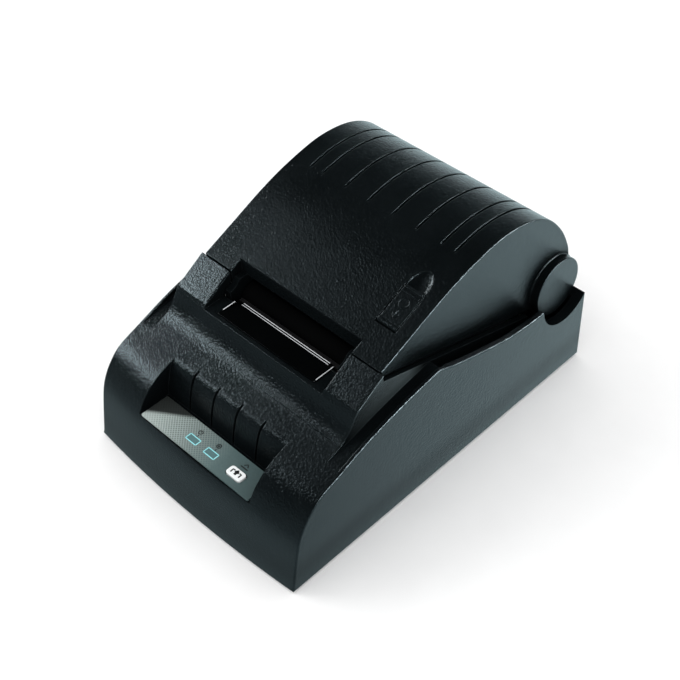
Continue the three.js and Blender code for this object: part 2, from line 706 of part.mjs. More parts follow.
function addTearBar() {
  // A thin plate lying on the shelf, with teeth along its rear edge.
  const shape = new THREE.Shape();
  const half = 25.8;
  const front = 42.6;
  const back = 52.1;
  const toothDepth = 0.4;
  const teeth = 43;
  shape.moveTo(-half, front);
  shape.lineTo(half, front);
  shape.lineTo(half, back);
  for (let i = 0; i < teeth; i += 1) {
    const pitch = (2 * half) / teeth;
    shape.lineTo(half - pitch * (i + 0.5), back + toothDepth);
    shape.lineTo(half - pitch * (i + 1), back);
  }
  const plate = new THREE.ExtrudeGeometry(shape, { depth: 0.6, bevelEnabled: false });
  plate.translate(0, 0, SHELF.top + TOUCH);
  add('tear_bar', solid(plate), steel);
}

// ---------------------------------------------------------------- paper bin and guide

function addPaperPath() {
  const { half, front, back, floor } = ROLL;
  const wall = 1.8;
  const outer = [
    [front - wall, 47], [front - wall, floor + 3.6], [front + 3.6, floor - wall], [back - 3.6, floor - wall],
    [back + wall, floor + 3.6], [back + wall, 30],
  ];
  const inner = [
    [front, 60], [front, floor + 5], [front + 5, floor], [back - 5, floor], [back, floor + 5], [back, 60],
  ];
  const bin = cut(slab(outer, [-half - wall, half + wall]), slab(inner, [-half, half]));
  add('paper_bin', bin, innerBlack);

  const guide = [[67.4, 45.6], [67.4, 44.2], [73.9, 44.2], [73.9, 45.6]];
  const lip = [[66.4, 47.2], [67.4, 44.2], [68.6, 44.2], [67.6, 47.2]];
  add('paper_guide', joined(slab(guide, [-29.4, 29.4]), slab(lip, [-29.4, 29.4])), innerBlack);
  add('paper_sensor', box([6, 12], [69.3, 72.3], [40.6, 44.1]), portGrey);
}

// ---------------------------------------------------------------- rear electronics

const BOARD_Y = [144.6, 146.2];
const CABLE_HALF = 12;
const CABLE_Z = 3.3;          // between the bottom plate and the paper bin
const CABLE_REAR = 143.4;
const CABLE_SOCKET = [16.5, 20];
const PORTS = [
  { name: 'power_jack', x: [-34, -24], z: [7, 18] },
  { name: 'usb_port', x: [-15, -3], z: [7, 18] },
  { name: 'drawer_port', x: [5, 18], z: [7, 20] },
];
const SWITCH = { x: [25, 38], z: [7, 26] };
const ROCKER_SWING = 16;      // degrees between off and on
const SWITCH_AXIS = { y: 159.4, z: (SWITCH.z[0] + SWITCH.z[1]) / 2 };
const PORT_FACE = LENGTH - 0.4;

// Openings in the rear wall for the ports and the power switch.
function portHoles() {
  return [...PORTS, SWITCH].map(({ x, z }) => {
    const [xs, zs] = around(x, z, GAP);
    return box(xs, [LENGTH - 4, LENGTH + 1], zs);
  });
}

// Flat cable from the print head, under the paper bin and up to its socket on the main board.
function addHeadCable() {
  const bend = 6;
  const run = [
    [56.6, 43],
    [60, 38],
    ...arc({ y: 60 + bend, z: CABLE_Z + bend }, bend, 180, 270, 6),
    ...arc({ y: CABLE_REAR - bend, z: CABLE_Z + bend }, bend, 270, 360, 6),
    [CABLE_REAR, CABLE_SOCKET[0] - GAP],
  ];
  const outline = [...offset(run, 0.15), ...offset(run, -0.15).reverse()];
  add('head_cable', slab(outline, [-CABLE_HALF, CABLE_HALF]), buttonWhite);
}

function addElectronics() {
  const board = box([-37.5, 37.5], BOARD_Y, [4, 26.5]);
  const socket = box([-CABLE_HALF - 1, CABLE_HALF + 1], [CABLE_REAR - 1, BOARD_Y[0] + 0.1], CABLE_SOCKET);
  add('main_board', joined(board, socket), boardGreen);
  const back = BOARD_Y[1] + TOUCH;

  for (const { name, x, z } of PORTS) {
    const housing = box(x, [back, PORT_FACE], z);
    const middle = [(x[0] + x[1]) / 2, (z[0] + z[1]) / 2];
    if (name === 'power_jack') {
      // Round socket with a centre contact.
      const barrel = new THREE.CylinderGeometry(3.2, 3.2, 12, 20);
      barrel.translate(middle[0], PORT_FACE - 5, middle[1]);
      const contact = new THREE.CylinderGeometry(1, 1, 10, 12);
      contact.translate(middle[0], PORT_FACE - 6.4, middle[1]);
      add(name, joined(cut(housing, solid(barrel)), solid(contact)), portGrey);
    } else {
      // Rectangular mouth, with a tongue in the USB socket.
      const mouth = box([x[0] + 1.6, x[1] - 1.6], [PORT_FACE - 10, PORT_FACE + 1], [z[0] + 1.6, z[1] - 1.6]);
      const tongue = box([x[0] + 3.4, x[1] - 3.4], [PORT_FACE - 11, PORT_FACE - 1.5],
        [middle[1] - 1.2, middle[1] + 1.2]);
      const socket = cut(housing, mouth);
      add(name, name === 'usb_port' ? joined(socket, tongue) : socket, name === 'usb_port' ? steel : portGrey);
    }
  }

  const [x0, x1] = SWITCH.x;
  const [z0, z1] = SWITCH.z;
  const body = box(SWITCH.x, [149, PORT_FACE], SWITCH.z);
  const well = box([x0 + 1.4, x1 - 1.4], [154, PORT_FACE + 1], [z0 + 1.4, z1 - 1.4]);
  const pivotBore = rod(0.95, [x0 + 0.6, x1 - 0.6], SWITCH_AXIS.y, SWITCH_AXIS.z, 12);
  add('switch_body', cut(body, well, pivotBore), innerBlack);

  // The rocker's face is a shallow V, so that one half or the other stands out.
  const { y, z } = SWITCH_AXIS;
  const face = [
    [y - 2.2, z - 5.2], [y + 1.2, z - 7.1], [y + 1.9, z], [y + 1.2, z + 7.1], [y - 2.2, z + 5.2],
  ];
  const rocker = joined(slab(face, [x0 + 1.8, x1 - 1.8]), rod(0.8, [x0 + 0.9, x1 - 0.9], y, z, 12));
  const tilted = new THREE.Group();
  tilted.position.set(0, y, z);
  tilted.rotation.x = THREE.MathUtils.degToRad(-ROCKER_SWING / 2);
  const node = add('switch_rocker', rocker, buttonWhite);
  node.geometry.translate(0, -y, -z);
  tilted.add(node);
  printer.add(tilted);
}

// ---------------------------------------------------------------- underside

const FEET = [
  ['foot_front_right', 38, 14],
  ['foot_front_left', -38, 14],
  ['foot_rear_right', 38, 140],
  ['foot_rear_left', -38, 140],
];

function addUnderside() {
  const front = 3.4;
  const rear = LENGTH - WALL - GAP;
  const edge = HALF - WALL - GAP;
  const cheekEdge = CHEEK_INNER - GAP;
  const footR = 4.8;
  const wideEnd = BAY_WALL_END - 1;
  let plate = joined(
    slab([[front, 0], [front, PLATE_THICK], [wideEnd, PLATE_THICK], [wideEnd, 0]], [-edge, edge], 10, bow),
    box([-cheekEdge, cheekEdge], [wideEnd - 1, rear], [0, PLATE_THICK]),
  );
  for (const [x, y] of CASE_POSTS) {
    for (const side of [-1, 1]) {
      plate = cut(plate, post(1.6, side * x, y, [-1, 4], 12), post(3, side * x, y, [-1, 1.2], 16));
    }
  }
  for (const [, x, y] of FEET) {
    plate = cut(plate, post(footR + GAP, x, y, [-1, 1], 24));
  }
  add('bottom_plate', plate, innerBlack);

  for (const [name, x, y] of FEET) {
    add(name, post(footR, x, y, [-FOOT_DROP, 1 - TOUCH], 24), rubber);
  }
  let count = 0;
  for (const [x, y] of CASE_POSTS) {
    for (const side of [1, -1]) {
      count += 1;
      const screw = joined(
        post(2.7, side * x, y, [0, 1.1], 16),
        post(1.4, side * x, y, [1, 11], 12),
      );
      const slotted = cut(screw, box([side * x - 0.4, side * x + 0.4], [y - 2, y + 2], [-1, 0.5]),
        box([side * x - 2, side * x + 2], [y - 0.4, y + 0.4], [-1, 0.5]));
      add(`case_screw_${count}`, slotted, steel);
    }
  }
}

// ---------------------------------------------------------------- assembly

add('case', caseShell(), caseBlack);
add('lid', lidShell(), caseBlack);
addHingePins();
addLatch();
addControls();
addTearBar();
addFrame();
addHead();
addMotor();
addGears();
addPlaten();
addPaperPath();
addElectronics();
addHeadCable();
addUnderside();

const root = new THREE.Group();
root.position.set(0, -(HINGE.y + BOSS_R - NOSE_BOW) / 2, FOOT_DROP);
root.add(printer);

export default root;
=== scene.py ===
"""Receipt printer: fine surfaces, materials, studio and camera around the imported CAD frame.

The case, the lid, the latch lever, the tear bar and the control panel are modelled here in
millimetres, in the case's own frame: x to the right, y back from the front corners, z up from
the case's lower edge. Every other piece is the CAD node itself, with rounded edges and a
procedural material.
"""

import math

import bmesh
import bpy
from mathutils import Matrix, Vector


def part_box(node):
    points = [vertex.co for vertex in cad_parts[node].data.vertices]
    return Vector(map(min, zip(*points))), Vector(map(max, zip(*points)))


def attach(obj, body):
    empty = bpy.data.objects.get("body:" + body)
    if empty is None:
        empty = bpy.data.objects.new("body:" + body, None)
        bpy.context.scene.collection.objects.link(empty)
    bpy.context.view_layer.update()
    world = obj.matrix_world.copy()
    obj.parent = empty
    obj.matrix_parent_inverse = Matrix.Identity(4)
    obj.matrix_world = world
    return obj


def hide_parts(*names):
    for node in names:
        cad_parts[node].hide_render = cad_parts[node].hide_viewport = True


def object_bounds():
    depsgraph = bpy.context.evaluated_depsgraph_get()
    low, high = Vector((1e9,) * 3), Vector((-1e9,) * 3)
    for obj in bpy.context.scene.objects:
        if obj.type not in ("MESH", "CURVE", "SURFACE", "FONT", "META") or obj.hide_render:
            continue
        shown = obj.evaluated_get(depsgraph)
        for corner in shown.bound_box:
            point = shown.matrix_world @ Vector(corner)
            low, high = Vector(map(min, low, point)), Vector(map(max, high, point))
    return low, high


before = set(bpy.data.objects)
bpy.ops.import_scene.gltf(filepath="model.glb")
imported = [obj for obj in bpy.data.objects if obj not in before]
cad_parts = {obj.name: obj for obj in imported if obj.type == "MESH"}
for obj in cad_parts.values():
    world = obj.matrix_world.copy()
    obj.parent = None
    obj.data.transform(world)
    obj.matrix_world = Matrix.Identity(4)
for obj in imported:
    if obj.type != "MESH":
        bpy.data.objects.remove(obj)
CAD_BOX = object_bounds()

# ---------------------------------------------------------------- driving dimensions (mm)

MM = 0.001
CASE_LOW, CASE_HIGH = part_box("case")
LID_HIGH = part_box("lid")[1]

HALF = CASE_HIGH.x / MM         # half the width over the side walls
LENGTH = 163.0                  # front corners to rear wall
FRONT = CASE_HIGH.y / MM - LENGTH
LIFT = CASE_LOW.z / MM
PLACE = Matrix.Translation((0, FRONT * MM, LIFT * MM)) @ Matrix.Scale(MM, 4)

NOSE_BOW = 2.5                  # how far the nose stands out in plan
WALL = 2.3
GAP = 0.3                       # clearance between pieces that move apart
SLIVER = 0.01                   # overlap that lets two touching solids join
NECK_HALF = 48.0
BAY_HALF = NECK_HALF - WALL
LID_HALF = 46.5
LID_INNER = LID_HALF - 2.2
LID_THICK = 2.2
SLOT_HALF = 31.7
SLOT_BACK = 61.0
SEAM_Y = 55.2
PLATE_TOP = 2.7

HINGE = (151.0, 41.9)
BOSS_R = 12.7
BOSS_FACE = LID_HIGH.x / MM
NOTCH_R = 14.4
REAR_TOP = 35.6
PLATEN = (61.0, 51.5)
RIB_PITCH = 12.2
BOTH_SIDES = (-1, 1)


# ---------------------------------------------------------------- curves in the Y-Z plane

def smooth(points, count):
    """Evenly spaced points along a Catmull-Rom curve through a few (y, z) points."""
    last = len(points) - 1
    steps = 40
    fine = []
    for i in range(last * steps + 1):
        t = i / steps
        k = min(int(t), last - 1)
        p0, p1, p2, p3 = (Vector(points[min(max(k + d, 0), last)]) for d in (-1, 0, 1, 2))
        w = t - k
        v0, v1 = (p2 - p0) / 2, (p3 - p1) / 2
        cubic = 2 * p1 - 2 * p2 + v0 + v1
        square = 3 * p2 - 3 * p1 - 2 * v0 - v1
        fine.append(cubic * w**3 + square * w**2 + v0 * w + p1)
    lengths = [0.0]
    for a, b in zip(fine, fine[1:]):
        lengths.append(lengths[-1] + (b - a).length)
    spaced = []
    k = 0
    for i in range(count + 1):
        want = lengths[-1] * i / count
        while k < len(lengths) - 2 and lengths[k + 1] < want:
            k += 1
        share = (want - lengths[k]) / (lengths[k + 1] - lengths[k])
        spaced.append(tuple(fine[k].lerp(fine[k + 1], share)))
    return spaced


def offset(points, distance):
    """The same run of points moved sideways; positive is to the left of its travel.

    The distance is a number, or a function of the share of the run from 0 to 1.
    """
    moved = []
    for i, (y, z) in enumerate(points):
        ya, za = points[max(i - 1, 0)]
        yb, zb = points[min(i + 1, len(points) - 1)]
        length = math.hypot(yb - ya, zb - za)
        shift = distance(i / (len(points) - 1)) if callable(distance) else distance
        moved.append((y - shift * (zb - za) / length, z + shift * (yb - ya) / length))
    return moved


def arc(centre, radius, start, end, count):
    """Points along a circular arc between two angles in degrees, both ends included."""
    angles = [math.radians(start + (end - start) * i / count) for i in range(count + 1)]
    return [(centre[0] + radius * math.cos(a), centre[1] + radius * math.sin(a)) for a in angles]


def fillet(before, corner, after, radius, count=6):
    """Points of a round corner between two straight stretches."""
    corner = Vector(corner)
    to_before = (Vector(before) - corner).normalized()
    to_after = (Vector(after) - corner).normalized()
    half = to_before.angle(to_after) / 2
    middle = corner + (to_before + to_after).normalized() * (radius / math.sin(half))
    start = corner + to_before * (radius / math.tan(half)) - middle
    end = corner + to_after * (radius / math.tan(half)) - middle
    turn = start.angle_signed(end)
    return [tuple(middle + Matrix.Rotation(-turn * i / count, 2) @ start) for i in range(count + 1)]


def circle(centre, radius, count):
    """Points once round a circle, without repeating the first."""
    return arc(centre, radius, 0, 360 * (count - 1) / count, count - 1)


def ease(value, low, high):
    """A smooth step from 0 at low to 1 at high."""
    t = min(max((value - low) / (high - low), 0.0), 1.0)
    return t * t * (3 - 2 * t)


# ---------------------------------------------------------------- solids (mm)

def shape(bm):
    """A finished bmesh as an object of its own."""
    bmesh.ops.recalc_face_normals(bm, faces=bm.faces)
    mesh = bpy.data.meshes.new("shape")
    bm.to_mesh(mesh)
    bm.free()
    piece = bpy.data.objects.new("shape", mesh)
    bpy.context.scene.collection.objects.link(piece)
    return piece


def loft(rings):
    """A closed skin over rings of points that all have the same count."""
    bm = bmesh.new()
    rows = [[bm.verts.new(p) for p in ring] for ring in rings]
    count = len(rows[0])
    for a, b in zip(rows, rows[1:]):
        for i in range(count):
            j = (i + 1) % count
            bm.faces.new((a[i], a[j], b[j], b[i]))
    bm.faces.new(rows[0][::-1])
    bm.faces.new(rows[-1])
    return shape(bm)


def prism(outline, x0, x1, steps=1, bend=None):
    """A (y, z) outline carried from x0 to x1, each point passed through bend if there is one."""
    rings = []
    for i in range(steps + 1):
        x = x0 + (x1 - x0) * i / steps
        ring = [Vector((x, y, z)) for y, z in outline]
        rings.append([bend(p) for p in ring] if bend else ring)
    return loft(rings)


def mirrored(outline, x0, x1):
    """The same prism on the right and on the left."""
    return [prism(outline, x0, x1), prism(outline, -x1, -x0)]


def block(xs, ys, zs):
    """A box between two values on each axis."""
    (y0, y1), (z0, z1) = ys, zs
    return prism([(y0, z0), (y1, z0), (y1, z1), (y0, z1)], *xs)


def rod(radius, x0, x1, y, z, count=48):
    """A cylinder along x."""
    return prism(circle((y, z), radius, count), x0, x1)


def post(radius, x, y, z0, z1, count=32):
    """An upright cylinder."""
    return loft([[(px, py, z) for px, py in circle((x, y), radius, count)] for z in (z0, z1)])


def rounded_plate(xs, ys, zs, radius, count=6):
    """A box whose four upright edges are rounded."""
    (x0, x1), (y0, y1) = xs, ys
    corners = [(x1 - radius, y1 - radius, 0), (x0 + radius, y1 - radius, 90),
               (x0 + radius, y0 + radius, 180), (x1 - radius, y0 + radius, 270)]
    ring = [p for cx, cy, a in corners for p in arc((cx, cy), radius, a, a + 90, count)]
    return loft([[(x, y, z) for x, y in ring] for z in zs])


def bake(piece):
    """Turns a piece's modifiers into its mesh."""
    graph = bpy.context.evaluated_depsgraph_get()
    old = piece.data
    mesh = bpy.data.meshes.new_from_object(piece.evaluated_get(graph))
    piece.modifiers.clear()
    piece.data = mesh
    bpy.data.meshes.remove(old)
    return piece


def combine(piece, tools, operation):
    """Joins, cuts or intersects piece with each tool in turn, and drops the tools."""
    for tool in tools:
        step = piece.modifiers.new("step", "BOOLEAN")
        step.operation = operation
        step.solver = "MANIFOLD"
        step.object = tool
    bake(piece)
    for tool in tools:
        bpy.data.objects.remove(tool)
    return piece


def join(piece, *tools):
    return combine(piece, tools, "UNION")


def cut(piece, *tools):
    return combine(piece, tools, "DIFFERENCE")


def round_sides(piece, ends, radius, segments, lowest=-math.inf):
    """Rounds the edges of a prism's end faces, given by their x, above a height."""
    touch = 1e-4
    bm = bmesh.new()
    bm.from_mesh(piece.data)
    edges = []
    for edge in bm.edges:
        a, b = edge.verts
        on_end = any(abs(a.co.x - x) < touch and abs(b.co.x - x) < touch for x in ends)
        if on_end and min(a.co.z, b.co.z) > lowest:
            edges.append(edge)
    bmesh.ops.bevel(bm, geom=edges, offset=radius, offset_type="OFFSET", segments=segments,
                    profile=0.5, affect="EDGES", clamp_overlap=False)
    bm.to_mesh(piece.data)
    bm.free()
    return piece


def clean(piece):
    """Merges the slivers that cutting leaves, so that the shading runs evenly."""
    bm = bmesh.new()
    bm.from_mesh(piece.data)
    bmesh.ops.remove_doubles(bm, verts=bm.verts, dist=SLIVER)
    bmesh.ops.dissolve_degenerate(bm, edges=bm.edges, dist=SLIVER)
    bmesh.ops.dissolve_limit(bm, angle_limit=math.radians(0.05), verts=bm.verts, edges=bm.edges)
    bm.to_mesh(piece.data)
    bm.free()
    return piece


def soften(piece, radius, segments=2, angle=38):
    """Small rounded edges on everything sharper than an angle, radius in metres."""
    piece.data.shade_smooth()
    edge = piece.modifiers.new("edge", "BEVEL")
    edge.width = radius
    edge.segments = segments
    edge.limit_method = "ANGLE"
    edge.angle_limit = math.radians(angle)
    edge.use_clamp_overlap = False
    normals = piece.modifiers.new("normals", "WEIGHTED_NORMAL")
    normals.mode = "FACE_AREA"
    normals.weight = 50
    return piece


def crisp(piece, angle=28):
    """Smooth curves between edges that stay sharp above an angle."""
    piece.data.shade_smooth()
    piece.data.set_sharp_from_angle(angle=math.radians(angle))
    normals = piece.modifiers.new("normals", "WEIGHTED_NORMAL")
    normals.keep_sharp = True


def settle(piece, name, body, material, nodes=(), radius=0, segments=2):
    """Places a finished shape in the row frame as a piece that rides on a CAD body.

    It stands for the CAD nodes named. A radius in mm rounds its edges; without one they stay sharp.
    """
    piece.name = name
    piece.data.name = name
    piece.data.transform(PLACE)
    piece.data.materials.clear()
    piece.data.materials.append(material)
    if radius:
        soften(piece, radius * MM, segments)
    else:
        crisp(piece)
    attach(piece, body)
    if nodes:
        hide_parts(*nodes)
    return piece


# ---------------------------------------------------------------- outlines of the case

NOSE = smooth([(0, 0), (3.4, 18.5), (5.8, 26.6), (9.8, 33), (15.5, 38.2), (26, 42.4)], 44)
RIDGE = smooth([(26, 42.4), (42, 48.3), (60, 52.6), (76, 55.2)], 24)[1:]
PEAK_Y = 77.0
CHEEK_TOP = 41.0
CHEEK_INNER = 50.7
REAR_SLOPE = smooth([(79.5, 54.1), (88.5, 50.6), (110, 44.2), (124, 41.6), (135.4, CHEEK_TOP)], 26)
SIDE_OUTLINE = [*NOSE, *RIDGE, (PEAK_Y, 55.1), *REAR_SLOPE, (159, CHEEK_TOP), (LENGTH, REAR_TOP), (LENGTH, 0)]

LID_EDGE_FRONT = (SEAM_Y, 61.5)
LID_EDGE_REAR = (139.5, 34.8)
LID_EDGE_GAP = 0.6
BAY_WALL_END = 137.0


def lid_edge(y):
    """Height of the lid's straight lower edge."""
    t = (y - LID_EDGE_FRONT[0]) / (LID_EDGE_REAR[0] - LID_EDGE_FRONT[0])
    return LID_EDGE_FRONT[1] + t * (LID_EDGE_REAR[1] - LID_EDGE_FRONT[1])


BAY_WALL_TOP = [(y, lid_edge(y) - LID_EDGE_GAP) for y in (SEAM_Y, BAY_WALL_END)]
NECK_CREST = (42, 55.8)
NECK_TOP = (SEAM_Y, 63.9)
NECK_FRONT = smooth([(28.6, 43.2), (32.4, 45.0), (35.6, 47.0), (38.4, 50.1), (40.6, 54.0)], 24)
NECK_OUTLINE = [
    (28, 30), *NECK_FRONT, *fillet(NECK_FRONT[-1], NECK_CREST, NECK_TOP, 1.0),
    NECK_TOP, *BAY_WALL_TOP, (BAY_WALL_END, 20), (60, 20),
]

LID_CURVE = smooth([
    (SEAM_Y + 0.4, 64.1), (68, 69.4), (88, 77.9), (104, 82.7), (119, 85),
    (134, 83.1), (146, 76.8), (155, 66.4), (160.2, 56), (161.6, 50),
], 110)


def lid_surface(y):
    """Height of the lid's top."""
    for (ya, za), (yb, zb) in zip(LID_CURVE, LID_CURVE[1:]):
        if y <= yb:
            return za + (y - ya) / (yb - ya) * (zb - za)
    return LID_CURVE[-1][1]


def bow(point):
    """The nose bows forward in plan; the bow fades out over the top of the nose."""
    across = 1 - (point.x / HALF) ** 2
    point.y -= NOSE_BOW * across * (1 - ease(point.z, 30, 43)) * (1 - ease(point.y, 10, 34))
    return point


# ---------------------------------------------------------------- case

RIM = 1.5                       # width of the side walls' rim beside the neck
LEDGE_DROP = 1.9                # how far the floor beside the neck lies under that rim
TROUGH_Y = 79.0
RECESS_HALF = 30.8
RECESS_FLOOR = 26.0
RECESS_BACK = smooth([(18.2, 26), (19, 31), (20.4, 36.2), (21.9, 39.7), (24.4, 41.9), (29.5, 43.75)], 26)
SHELF_TOP = 54.2
BRACKET_X = (40.3, 43.7)
REAR_WALL_TOP = 31.5
SCREW_POSTS = ((48.4, 22), (46.4, 148))
POST_R = 4.4
POST_TOP = 18
SCREW_R = 1.6
SCREW_DEPTH = 12.5
SLOT_END = 1.2                  # thickness of the walls that close the slot's ends
PIN_R = 2.4
LED_X = (-5.9, 4.1)
LED_Y = 9.3
LED_HALF = (2.5, 1.1)
BUTTON = (18.1, 9.1)
BUTTON_HALF = (3.8, 2.1)
NODE_MARGIN = 0.3
ROOF = 90                       # above everything, for tools that cut from the top


def node_span(node, axis, margin=0.0):
    """Where a CAD node starts and ends along x, y or z, in the case's own millimetres."""
    shift = (0.0, FRONT, LIFT)[axis]
    low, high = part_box(node)
    return low[axis] / MM - shift - margin, high[axis] / MM - shift + margin


def plate_at(centre, half, margin, zs, radius, count):
    """A rounded plate about a centre, as wide as its halves and a margin all round."""
    xs, ys = ((middle - reach - margin, middle + reach + margin) for middle, reach in zip(centre, half))
    return rounded_plate(xs, ys, zs, radius, count)


def panel_holes(z0, z1, margin=0.25):
    """Tools for the two windows and the button, from z0 to z1."""
    holes = [plate_at((x, LED_Y), LED_HALF, margin, (z0, z1), 0.3, 3) for x in LED_X]
    return [*holes, plate_at(BUTTON, BUTTON_HALF, margin, (z0, z1), 1.3, 5)]


def case_hollows():
    """What is cut out of the case from inside; the cup is the wall that stays round the recess."""
    inner = HALF - WALL
    cup_wall = 1.8
    cup_outline = [(-12, 24.2), (19.8, 24.2), (21.9, 34.5), (23.6, 40.4), (27.6, 43), (27.6, 60), (-12, 60)]
    cup = prism(cup_outline, -RECESS_HALF - cup_wall, RECESS_HALF + cup_wall)
    inside = [(y, -1.0) if i == 0 else (y, z) for i, (y, z) in enumerate(offset(NOSE, -WALL))]
    rear = LENGTH - WALL
    above = [(TROUGH_Y, ROOF), (TROUGH_Y, 40), (BAY_WALL_END, 22), (BAY_WALL_END, ROOF)]
    below = [(PEAK_Y - 1, -1), (PEAK_Y - 1, 38), (TROUGH_Y, 38), (BAY_WALL_END, 20), (BAY_WALL_END, -1)]
    bay = [(40, -1), (40, 40), (41.4, 48.8), (43.3, 53.9), (SEAM_Y - 0.2, 61.4),
           (SEAM_Y - 0.2, ROOF), (BAY_WALL_END, ROOF), (BAY_WALL_END, -1)]
    over_wall = [(SEAM_Y, ROOF), *BAY_WALL_TOP, (BAY_WALL_END, ROOF)]
    return [
        cut(prism([*inside, (40, 43), (PEAK_Y, 51.3), (PEAK_Y, -1)], -inner, inner, 20, bow), cup),
        prism(bay, -BAY_HALF, BAY_HALF),
        block((-CHEEK_INNER, CHEEK_INNER), (BAY_WALL_END - 1, rear), (-1, ROOF)),
        *mirrored(above, NECK_HALF, inner),
        *mirrored(below, NECK_HALF, inner),
        prism(over_wall, -NECK_HALF - SLIVER, NECK_HALF + SLIVER),
        block((-inner, inner), (PEAK_Y - 2, BAY_WALL_END), (-1, PLATE_TOP)),
    ]


def shoulder_cuts():
    """The floor beside the neck, a step down from the rim that fades in over the nose."""
    clear = 0.25
    ridge = [*NOSE[-10:], *RIDGE, (TROUGH_Y + 1, 55)]
    floor = [(y, z + clear - (LEDGE_DROP + clear) * ease(y, 22, 42)) for y, z in ridge]
    return mirrored([*floor, (TROUGH_Y + 1, 70), (floor[0][0], 70)], NECK_HALF, HALF - RIM)


def recess_cuts():
    """The recess for the controls, and the four grooves in its back that fade out at the top."""
    recess = prism([(-8, RECESS_FLOOR), *RECESS_BACK, (29.5, 60), (-8, 60)], -RECESS_HALF, RECESS_HALF)
    groove_half, groove_depth = 0.5, 1.3
    path = offset(RECESS_BACK[:-3], lambda t: -groove_depth * (1 - ease(t, 0.72, 1.0)))
    outline = [*path, (22, 60), (10, 60), (10, RECESS_FLOOR)]
    middles = [step * RIB_PITCH for step in (-1.5, -0.5, 0.5, 1.5)]
    return [recess, *(prism(outline, x - groove_half, x + groove_half) for x in middles)]


def slot_rims(path, y0, y1):
    """Chamfers along both ends of the paper slot, under a run of the top surface."""
    inside, outside = (-0.2, 0.75), (0.55, 0.0)
    top = [(y, z) for y, z in path if y0 <= y <= y1]
    above = offset(top, 2.0)
    cuts = []
    for side in BOTH_SIDES:
        rings = []
        for out, deep in (inside, outside):
            floor = [(y, z - deep) for y, z in top]
            rings.append([(side * (SLOT_HALF + out), y, z) for y, z in [*above, *reversed(floor)]])
        cuts.append(loft(rings))
    return cuts


def make_case(material):
    """One shell: sides, nose and neck, hollowed, with its shelf, hinge brackets, posts and openings."""
    shell = prism(SIDE_OUTLINE, -HALF, HALF, 28, bow)
    round_sides(shell, (-HALF, HALF), radius=0.8, segments=5, lowest=0.5)
    neck = prism(NECK_OUTLINE, -NECK_HALF, NECK_HALF)
    round_sides(neck, (-NECK_HALF, NECK_HALF), radius=0.45, segments=4, lowest=45.2)
    cut(shell, *shoulder_cuts())
    join(shell, neck)

    cut(shell, *case_hollows())

    shelf = block((-BAY_HALF - 1, BAY_HALF + 1), (42, 51), (SHELF_TOP - 1.8, SHELF_TOP))
    bracket_r = 5.6
    rear = LENGTH - WALL + 1
    bracket = [*arc(HINGE, bracket_r, 20, 180, 20), (HINGE[0] - bracket_r, 12), (rear, 12), (rear, 30)]
    slot_end = [(42, SHELF_TOP - 1), (SEAM_Y - 0.2, SHELF_TOP + 1.2),
                (SEAM_Y - 0.2, NECK_TOP[1] - 1), (43.5, 55.5)]
    posts = [post(POST_R, side * x, y, PLATE_TOP, POST_TOP) for x, y in SCREW_POSTS for side in BOTH_SIDES]
    join(shell, shelf, *mirrored(bracket, *BRACKET_X), *posts,
         *mirrored(slot_end, SLOT_HALF - SLIVER, SLOT_HALF + SLOT_END))

    through_rear = (LENGTH - 4, LENGTH + 1)
    slot = block((-SLOT_HALF, SLOT_HALF), (38, SEAM_Y + 1), (SHELF_TOP, 80))
    notch = [*arc(HINGE, NOTCH_R, 180, 360, 60), (HINGE[0] + NOTCH_R, 60), (HINGE[0] - NOTCH_R, 60)]
    rear_low = block((-NECK_HALF - 0.4, NECK_HALF + 0.4), through_rear, (REAR_WALL_TOP, 60))
    bores = [rod(PIN_R + 0.05, *sorted((side * (BRACKET_X[0] - 1), side * (BRACKET_X[1] + 1))), *HINGE)
             for side in BOTH_SIDES]
    screw_bores = [post(SCREW_R, side * x, y, 2, SCREW_DEPTH, 16)
                   for x, y in SCREW_POSTS for side in BOTH_SIDES]
    ports = [block(node_span(name, 0, NODE_MARGIN), through_rear, node_span(name, 2, NODE_MARGIN))
             for name in ("power_jack", "usb_port", "drawer_port", "switch_body")]
    neck_top = [(NECK_CREST[0] + 0.4, NECK_CREST[1] + 0.25), NECK_TOP]
    cut(shell, *recess_cuts(), slot, *slot_rims(neck_top, 40, 60),
        *mirrored(notch, CHEEK_INNER - 3, HALF + 1), rear_low, *bores, *screw_bores,
        *panel_holes(RECESS_FLOOR - 3, RECESS_FLOOR + 0.5), *ports)
    return settle(clean(shell), "case_shell", "base", material, ["case"])


# ---------------------------------------------------------------- lid

SKIRT_HALF = 39.6
LATCH_X = (31.0, 40.3)
LATCH_MIDDLE = 35.65
LATCH_Y = (69.0, 84.6)
LATCH_AXIS = (71.0, 69.0)
LATCH_PIN_R = 0.8
VENT_FRONT = 102.0
VENT_BACK = 160.3
# places across a groove, each with its share of the depth
VENT_PROFILE = ((-0.62, 0.0), (-0.46, 0.16), (-0.42, 1.0), (0.42, 1.0), (0.46, 0.16), (0.62, 0.0))
VENT_X = (-37.0, -30.5, -18.3, -6.1, 6.1, 18.3, 30.5, 37.0)
CHEEK_FRONT = 51.7
CHEEK_BACK = 66.1
CHEEK_INNER_X = 28.6


def vent_cuts():
    """Long grooves over the crest with chamfered edges, deep between two soft ends."""
    path = [(y, z) for y, z in LID_CURVE if VENT_FRONT < y < VENT_BACK]
    above = offset(path, 1.5)
    cuts = []
    for middle in VENT_X:
        rings = []
        for across, depth in VENT_PROFILE:
            floor = offset(path, lambda t: 0.02 - depth * ease(t, 0.0, 0.05) * (1 - ease(t, 0.95, 1.0)))
            rings.append([(middle + across, y, z) for y, z in [*above, *reversed(floor)]])
        cuts.append(loft(rings))
    return cuts


